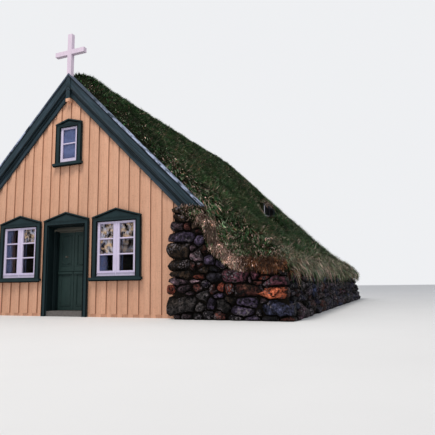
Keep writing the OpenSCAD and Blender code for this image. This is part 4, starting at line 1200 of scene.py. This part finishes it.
# Dead grass that hangs over the roof window, and beside its near end
sow("light_brow", 1, 2600, 90, bent_blades, (LIGHT_X - 0.14, LIGHT_X - 0.005),
    (LIGHT_D - 0.1, LIGHT_END + 0.1), (0.07, 0.14), (0.010, 0.016), upright=0.35, dry=0.95, droop=(0.2, 0.7))
sow("light_brow_end", 1, 1500, 91, bent_blades, (LIGHT_X - 0.1, LIGHT_X + 0.14),
    (LIGHT_D - 0.75, LIGHT_D - 0.06), (0.06, 0.13), (0.010, 0.016), upright=0.6, dry=0.95, droop=(0.2, 0.7))


# Joinery

# The verge boards as planes down both slopes, and the height at which their beads end
BARGE_LOW_C = 4.7156
FRIEZE_LOW_C = 4.5329
VERGE_Z = 1.98
VERGE_START = {False: 0.052, True: 0.004}
# Height on a slope of 45 degrees for each unit square to it
STEEP = math.sqrt(2)
# Openings: a window's middle, half width, and its foot and head; the clear glass of each casement, from
# and to beside the window's middle, and its foot and head
WIN_X = 1.199
WIN_HALF = 0.436
WIN_Z = (0.775, 1.82)
ATTIC_HALF = 0.213
ATTIC_Z = (3.13, 3.865)
GLASS_X = (0.0755, 0.382)
GLASS_Z = (0.873, 1.78)
ATTIC_GLASS_X = 0.159
ATTIC_GLASS_Z = (3.204, 3.52, 3.825)
# Casings: middle, half width of the opening, width of the casing, foot and head of the opening, foot of
# the casing, its shoulder and its peak
CASE_W = 0.12
SHOULDER_Z = 1.925
PEAK_Z = 2.08
WINDOW_CASE = (WIN_X, WIN_HALF, CASE_W, *WIN_Z, 0.75, SHOULDER_Z, PEAK_Z)
ATTIC_CASE = (0.0, ATTIC_HALF, CASE_W, *ATTIC_Z, 3.105, 3.953, 4.044)
DOOR_CASE = (0.0, 0.449, 0.11, 0.0, 1.809, 0.0, SHOULDER_Z, PEAK_Z)
# Depths of the faces that mouldings lie on
CASE_D = -0.030
BARGE_D = -0.076
SASH_D = -0.005
BAR_D = 0.016
LINING_D = 0.096
LEAF_D = 0.263
PANEL_D = LEAF_D + 0.007
# Depths of the front and the back of a pane
PANE_D = (0.015, 0.019)
# Depths of an inner sash, of the post between two, and of the frame round both
INNER_D = (0.10, 0.106, 0.11)
# Sunk panels of a door leaf: their two sides, and the foot and head of each
PANEL_X = (0.071, 0.324)
UPPER_PANEL = (1.01, 1.635)
LOWER_PANEL = (0.198, 0.83)
# Half the width of the bead round an opening, and how deep every outline's foot is sunk into the wood
BEAD = 0.011
SUNK = -0.002
# On a casing: how far its bars stand in from its sides; how far its sill bar passes them and lies under
# its foot; how far its raking bead lies under its top; and the band's share of the way from the opening's
# head to the shoulder
BAR_IN = 0.012
SILL_PAST = 0.02
SILL_DROP = 0.06
RAKE_DROP = 0.036
BAND_SHARE = 0.62
# Lap or gap of a glazing bar at what it meets, how far a bar lies over an even third, and a drip's height
LAP = 0.004
BAR_RISE = 0.012
DRIP_Z = 0.826
# Door lining: half width and height of the joint over the leaves, and the half width, foot and head of
# the stop beads. On a leaf: the two ends and the height of its middle band
JOINT_HALF, JOINT_Z = 0.39, 1.738
STOP_HALF, STOP_LOW, STOP_HIGH = 0.377, 0.105, 1.722
BAND_X = (0.012, 0.383)
BAND_Z = 0.885


def half_round(width, height, steps=7):
    """Outline of a bead that is width wide and height high, a half ellipse."""
    angle = np.linspace(0, math.pi, steps)
    curve = np.stack([width / 2 * np.cos(angle), height * np.sin(angle)], -1)
    return np.concatenate([[[width / 2, SUNK]], curve, [[-width / 2, SUNK]]])


def eased_bar(width, thick, ease=0.004):
    """Outline of a bar with its two front edges eased."""
    w = width / 2
    return np.array([[w, SUNK], [w, thick - ease], [w - ease, thick], [ease - w, thick], [-w, thick - ease],
                     [-w, SUNK]])


def ogee(width, height):
    """Outline of a hollow sloping moulding: height * (1 - t)^1.5, t from its left edge to its right."""
    t = np.linspace(0, 1, 7)
    curve = np.stack([width * (0.5 - t), height * (1 - t) ** 1.5 + 0.003], -1)
    return np.concatenate([[[width / 2, SUNK]], curve, [[-width / 2, SUNK]]])


def box_corners(x0, x1, z0, z1, grow=0.0):
    """Corners of a rectangle, grown all round, in the order that keeps its inside on the left."""
    x0, x1, z0, z1 = x0 - grow, x1 + grow, z0 - grow, z1 + grow
    return [(x0, z0), (x1, z0), (x1, z1), (x0, z1)]


def rake(c, start):
    """Two corners of a line down the right slope at z = c - x, from x = start to the height VERGE_Z."""
    return [(start, c - start), (c - VERGE_Z, VERGE_Z)]


def beside_window(hand, near, far):
    """The two x of a stretch on one hand of a window's middle, the smaller first."""
    return sorted((WIN_X + hand * near, WIN_X + hand * far))


class Joinery:
    """Mouldings and bars of one end gathered into one mesh, all given by x, z and depth."""

    def __init__(self, back=False):
        self.back = back
        self.points, self.quads, self.fans, self.count = [], [], [], 0

    def lay(self, outline, corners, depth, side=1, closed=False):
        """Carries an outline (k, 2) along corners (n, 2) in the plane of the wall, mitred at each.

        The outline's first number is measured to the left of the way and its
        second out of the wall from `depth`. `side` -1 mirrors the piece to the
        other half of the house.
        """
        corners = np.asarray(corners, float)
        n, k = len(corners), len(outline)
        way = unit(np.roll(corners, -1, 0) - corners)
        before, after = np.roll(way, 1, 0), way.copy()
        if not closed:
            before[0], after[-1] = way[0], way[-2]
        left = np.stack([-(before + after)[:, 1], (before + after)[:, 0]], -1)
        mitre = left / (1 + (before * after).sum(-1, keepdims=True))
        place = corners[:, None] + mitre[:, None] * outline[None, :, :1]
        d = np.broadcast_to(depth - outline[None, :, 1], (n, k))
        y = FACE - d if self.back else d - FACE
        points = np.stack([side * place[..., 0], y, place[..., 1]], -1).reshape(-1, 3)
        i = np.arange(n if closed else n - 1)[:, None]
        j = np.arange(k)[None]
        i2, j2 = (i + 1) % n, (j + 1) % k
        quads = np.stack([i * k + j, i * k + j2, i2 * k + j2, i2 * k + j], -1).reshape(-1, 4)
        m = np.arange(1, k - 1)
        fans = np.zeros((0, 3), int) if closed else np.concatenate([
            np.stack([0 * m, m + 1, m], -1), np.stack([0 * m, m, m + 1], -1) + (n - 1) * k])
        if (side < 0) != self.back:
            quads, fans = quads[:, ::-1], fans[:, ::-1]
        self.points.append(points)
        self.quads.append(quads + self.count)
        self.fans.append(fans + self.count)
        self.count += len(points)

    def piece(self, name, material, slot, body="house"):
        """The gathered mouldings as one piece."""
        faces = [np.concatenate(self.quads), np.concatenate(self.fans)]
        new_piece(name, np.concatenate(self.points), faces, material, body, sharp=35)


def case_mouldings(bands, edges, case, side):
    """On one casing: a bead round the opening, bars up its sides and under its sill, and its raking bead."""
    mid, half, width, low, high, foot, shoulder, peak = case
    full = half + width
    near, far, head = mid - half - BEAD, mid + half + BEAD, high + BEAD
    edges.lay(half_round(0.022, 0.010), [(far, low), (far, head), (near, head), (near, low)], CASE_D, side)
    for hand in (1, -1):
        x = mid + hand * (full - BAR_IN)
        edges.lay(eased_bar(0.022, 0.009), [(x, foot), (x, shoulder - 0.03)], CASE_D, side)
    band = mix(high, shoulder, BAND_SHARE)
    bands.lay(ogee(0.026, 0.014), [(mid - full + BAR_IN, band), (mid + full - BAR_IN, band)], CASE_D, side)
    if foot > 0:
        sill = [(mid - full - SILL_PAST, foot - SILL_DROP), (mid + full + SILL_PAST, foot - SILL_DROP)]
        edges.lay(eased_bar(0.024, 0.040), sill, CASE_D, side)
    side_z, middle_z = shoulder - RAKE_DROP, peak - RAKE_DROP
    raking = [(mid + full, side_z), (mid, middle_z), (mid - full, side_z)]
    edges.lay(ogee(0.022, 0.010), raking, CASE_D, side)


def casing_mouldings(name, back):
    """Mouldings of every casing of one end; those painted near black as shadow lines round the casings are a
    piece of their own.
    """
    bands, edges = Joinery(back), Joinery(back)
    cases = [(WINDOW_CASE, 1), (WINDOW_CASE, -1), (ATTIC_CASE, 1)]
    if not back:
        cases.append((DOOR_CASE, 1))
    for case, side in cases:
        case_mouldings(bands, edges, case, side)
    edges.piece(name + "_edges", casing_shadow_paint, "trim_paint")
    bands.piece(name, trim_paint, "trim_paint")


def window_bars(name, back):
    """Glazing bars, the rebated joint of the two casements, and the drip on their bottom rails."""
    work = Joinery(back)
    bar, bead = eased_bar(0.026, 0.026, 0.008), half_round(0.010, 0.004, 5)
    low, high = GLASS_Z
    for side in (1, -1):
        for hand in (1, -1):
            x0, x1 = beside_window(hand, GLASS_X[0] - LAP, GLASS_X[1] + LAP)
            for share in (1 / 3, 2 / 3):
                z = mix(low, high, share) + BAR_RISE
                work.lay(bar, [(x0, z), (x1, z)], BAR_D, side)
            drip = [(x, DRIP_Z) for x in beside_window(hand, 2 * LAP, WIN_HALF - LAP)]
            work.lay(ogee(0.026, 0.014), drip, SASH_D, side)
            work.lay(bead, box_corners(x0, x1, low, high, 0.006), SASH_D, side, closed=True)
        joint = [(WIN_X, WIN_Z[0] + LAP), (WIN_X, WIN_Z[1] - LAP)]
        work.lay(half_round(0.030, 0.010), joint, SASH_D, side)
    x, (low, middle, high) = ATTIC_GLASS_X, ATTIC_GLASS_Z
    work.lay(bar, [(-x - LAP, middle), (x + LAP, middle)], BAR_D)
    work.lay(bead, box_corners(-x, x, low, high, 0.006), SASH_D, closed=True)
    work.piece(name, sash_paint, "sash_paint")


def inner_sashes(name, back):
    """Thin second frames a hand's breadth behind the glass of the ground windows."""
    work = Joinery(back)
    foot, head = WIN_Z
    sash_d, post_d, round_d = INNER_D
    for side in (1, -1):
        for hand in (1, -1):
            x0, x1 = beside_window(hand, GLASS_X[0] + 0.002, GLASS_X[1] + 0.012)
            frame_box = box_corners(x0, x1, GLASS_Z[0] - 0.01, GLASS_Z[1] + 0.012)
            work.lay(eased_bar(0.022, 0.022), frame_box, sash_d, side, closed=True)
        work.lay(eased_bar(0.06, 0.03), [(WIN_X, foot + 0.01), (WIN_X, head - 0.01)], post_d, side)
        around = box_corners(WIN_X - WIN_HALF + 0.02, WIN_X + WIN_HALF - 0.02, foot + 0.03, head - 0.02)
        work.lay(eased_bar(0.07, 0.03), around, round_d, side, closed=True)
    work.piece(name, inner_paint, "sash_paint")


def verge_mouldings(name, back):
    """Beads along the foot of the barge and set-back boards and under the capping, and a bed board."""
    work = Joinery(back)
    for side in (1, -1):
        for outline, c, depth in ((half_round(0.020, 0.010), BARGE_LOW_C + 0.012 * STEEP, BARGE_D),
                                  (half_round(0.016, 0.007), BARGE_LOW_C + 0.034 * STEEP, BARGE_D),
                                  (half_round(0.024, 0.012), BARGE_C - 0.014 * STEEP, BARGE_D),
                                  (eased_bar(0.040, 0.022), BARGE_LOW_C - 0.022 * STEEP, CASE_D),
                                  (half_round(0.016, 0.008), FRIEZE_LOW_C + 0.012 * STEEP, CASE_D)):
            work.lay(outline, rake(c, VERGE_START[back]), depth, side)
    work.piece(name, verge_paint, "trim_paint")


def door_mouldings(name, side, body):
    """Mouldings round the sunk panels of one leaf, and the waved one at the foot of its upper panel."""
    work = Joinery()
    near, far = PANEL_X
    for low, high in (UPPER_PANEL, LOWER_PANEL):
        work.lay(half_round(0.020, 0.008), box_corners(near, far, low, high), LEAF_D, side, closed=True)
        inside = box_corners(near, far, low, high, -0.02)
        work.lay(half_round(0.008, 0.005, 5), inside, PANEL_D, side, closed=True)
    t = np.linspace(0, 1, 17)
    wave = UPPER_PANEL[0] + 0.045 + 0.022 * np.cos(2 * math.pi * t)
    waved = np.stack([mix(near + 0.012, far - 0.012, t), wave], -1)
    work.lay(half_round(0.018, 0.012), waved, PANEL_D, side)
    work.lay(ogee(0.018, 0.008), [(x, BAND_Z) for x in BAND_X], LEAF_D, side)
    work.piece(name, leaf_paint, "trim_paint", body)


def lining_trim():
    """Stop beads of the door lining and the joint of its two boards."""
    work = Joinery()
    work.lay(ogee(0.024, 0.012), [(JOINT_HALF, JOINT_Z), (-JOINT_HALF, JOINT_Z)], LINING_D)
    stops = [(STOP_HALF, STOP_LOW), (STOP_HALF, STOP_HIGH), (-STOP_HALF, STOP_HIGH), (-STOP_HALF, STOP_LOW)]
    work.lay(half_round(0.014, 0.007), stops, LINING_D)
    work.piece("lining_beads", frame_paint, "trim_paint")


# Painted reflection on the panes of the left and right window, column by column, each from the bottom up: its
# share, and 1 where it is broken and warm; a plain one fills only the left half of its pane
PANE_SHEENS = ((((0.5, 0), (0.5, 0), (0.45, 0)), ((0, 0), (0, 0), (0.55, 1))),
               (((0.6, 0), (0.75, 1), (0.85, 1)), ((0, 0), (0.2, 1), (0.6, 1))))
ATTIC_SHEEN = (0.85, 0)
PANE_STEPS = 9


def window_lights():
    """Every pane of one end: its sides, foot and head, its sheen's share and warmth, and if that fills it."""
    lights = []
    third = (GLASS_Z[1] - GLASS_Z[0]) / 3
    for side in (1, -1):
        for hand in (1, -1):
            x0, x1 = sorted(side * x for x in beside_window(hand, *GLASS_X))
            for row, (share, warm) in enumerate(PANE_SHEENS[side > 0][side * hand > 0]):
                z0 = GLASS_Z[0] + row * third
                lights.append((x0, x1, z0, z0 + third, share, warm, warm == 1))
    for z0, z1 in zip(ATTIC_GLASS_Z[:-1], ATTIC_GLASS_Z[1:]):
        lights.append((-ATTIC_GLASS_X, ATTIC_GLASS_X, z0, z1, *ATTIC_SHEEN, True))
    return lights


def panes(name, back):
    """Hand-drawn glass in every light: two surfaces 4 mm apart that wave together by a millimetre."""
    points, faces, sheens = [], [], []
    net = slab_faces(PANE_STEPS, PANE_STEPS)
    for x0, x1, z0, z1, share, warm, full in window_lights():
        u, v = np.meshgrid(np.linspace(x0, x1, PANE_STEPS), np.linspace(z0, z1, PANE_STEPS), indexing="xy")
        u, v = u.ravel(), v.ravel()
        wave = (0.0006 * rough(np.stack([u, v, 0 * u + x0], -1), 0.11, 71)
                + 0.0008 * rough(np.stack([u, v, 0 * u + z0], -1), 0.3, 72))
        block = np.concatenate([np.stack([u, depth + wave, v], -1) for depth in PANE_D])
        block[:, 1] = FACE - block[:, 1] if back else block[:, 1] - FACE
        faces.append((net[:, ::-1] if back else net) + len(block) * len(faces))
        points.append(block)
        across = np.tile((u - x0) / (x1 - x0), 2)
        lit = 1.0 if full else np.clip((0.55 - across) / 0.15, 0, 1)
        sheens.append(np.stack([share * lit + 0 * across, warm + 0 * across, 0 * across], -1))
    return new_piece(name, np.concatenate(points), np.concatenate(faces), window_glass,
                     tint=np.concatenate(sheens))


for tag, back, glass in (("front", False, "window_glass"), ("back", True, "back_window_glass")):
    casing_mouldings(tag + "_casing_mouldings", back)
    window_bars(tag + "_window_bars", back)
    inner_sashes(tag + "_inner_sashes", back)
    verge_mouldings(tag + "_verge_mouldings", back)
    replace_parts(panes(tag + "_panes", back), glass)
door_mouldings("left_leaf_mouldings", -1, "left_leaf")
door_mouldings("right_leaf_mouldings", 1, "right_leaf")
lining_trim()


# Floor, light and the camera

# Width of the photograph and distance of its picture plane, both in its pixels
PHOTO_PIXELS = 435
FOCAL_PIXELS = 470


def floor_sheet(size=60.0):
    """Pale, nearly even floor."""
    mesh = bpy.data.meshes.new("floor_sheet")
    corners = [(-size, -size, 0), (size, -size, 0), (size, size, 0), (-size, size, 0)]
    mesh.from_pydata(corners, [], [(0, 1, 2, 3)])
    f = Finish("floor_sheet", 0.9)
    f.colour(f.blend(f.noise(f.place, 0.4), linear(226, 226, 226), linear(230, 230, 230)))
    mesh.materials.append(f.material)
    sheet = bpy.data.objects.new("floor_sheet", mesh)
    bpy.context.scene.collection.objects.link(sheet)


def surround():
    """An even pale light from all round; the camera, glossy and clear surfaces see a paler grey there."""
    world = bpy.data.worlds.new("studio")
    bpy.context.scene.world = world
    world.use_nodes = True
    tree = world.node_tree
    light = tree.nodes["Background"]
    light.inputs["Color"].default_value = (0.93, 0.95, 1.0, 1)
    light.inputs["Strength"].default_value = 0.6
    seen = tree.nodes.new("ShaderNodeBackground")
    seen.inputs["Color"].default_value = (0.86, 0.87, 0.89, 1)
    seen.inputs["Strength"].default_value = 1.0
    path = tree.nodes.new("ShaderNodeLightPath")
    any_ray = path.outputs["Is Camera Ray"]
    for ray in ("Is Glossy Ray", "Is Transmission Ray"):
        either = tree.nodes.new("ShaderNodeMath")
        either.operation = "MAXIMUM"
        tree.links.new(any_ray, either.inputs[0])
        tree.links.new(path.outputs[ray], either.inputs[1])
        any_ray = either.outputs[0]
    choose = tree.nodes.new("ShaderNodeMixShader")
    tree.links.new(any_ray, choose.inputs[0])
    tree.links.new(light.outputs[0], choose.inputs[1])
    tree.links.new(seen.outputs[0], choose.inputs[2])
    tree.links.new(choose.outputs[0], tree.nodes["World Output"].inputs["Surface"])


def key_lamp():
    """One large soft lamp from the front and above, aimed at the middle of the front."""
    lamp = bpy.data.lights.new("key", "AREA")
    lamp.shape = "DISK"
    lamp.size = 5.0
    lamp.energy = 1650
    lamp.color = (1.0, 0.96, 0.90)
    key = bpy.data.objects.new("key", lamp)
    bpy.context.scene.collection.objects.link(key)
    key.location = (2.0, -11.0, 16.0)
    key.rotation_euler = (Vector((0, -2, 1.5)) - key.location).to_track_quat("-Z", "Y").to_euler()


def photo_camera():
    """Camera at the photograph's place: its turn, tilt and lean, and its lens for a 36 mm sensor."""
    yaw, pitch, roll = (math.radians(v) for v in (22.26, 7.94, -0.78))
    ahead = Vector((-math.sin(yaw), math.cos(yaw), 0))
    right = Vector((math.cos(yaw), math.sin(yaw), 0))
    up = Vector((0, 0, 1))
    forward = math.cos(pitch) * ahead + math.sin(pitch) * up
    raised = -math.sin(pitch) * ahead + math.cos(pitch) * up
    side = math.cos(roll) * right + math.sin(roll) * raised
    top = -math.sin(roll) * right + math.cos(roll) * raised
    data = bpy.data.cameras.new("camera")
    data.sensor_fit = "HORIZONTAL"
    data.sensor_width = 36.0
    data.lens = data.sensor_width * FOCAL_PIXELS / PHOTO_PIXELS
    camera = bpy.data.objects.new("camera", data)
    bpy.context.scene.collection.objects.link(camera)
    place = Matrix((side, top, -forward)).transposed().to_4x4()
    place.translation = Vector((6.3945, -12.2688, 0.613))
    camera.matrix_world = place
    bpy.context.scene.camera = camera


floor_sheet()
surround()
key_lamp()
photo_camera()
bpy.context.scene.view_settings.view_transform = "Standard"
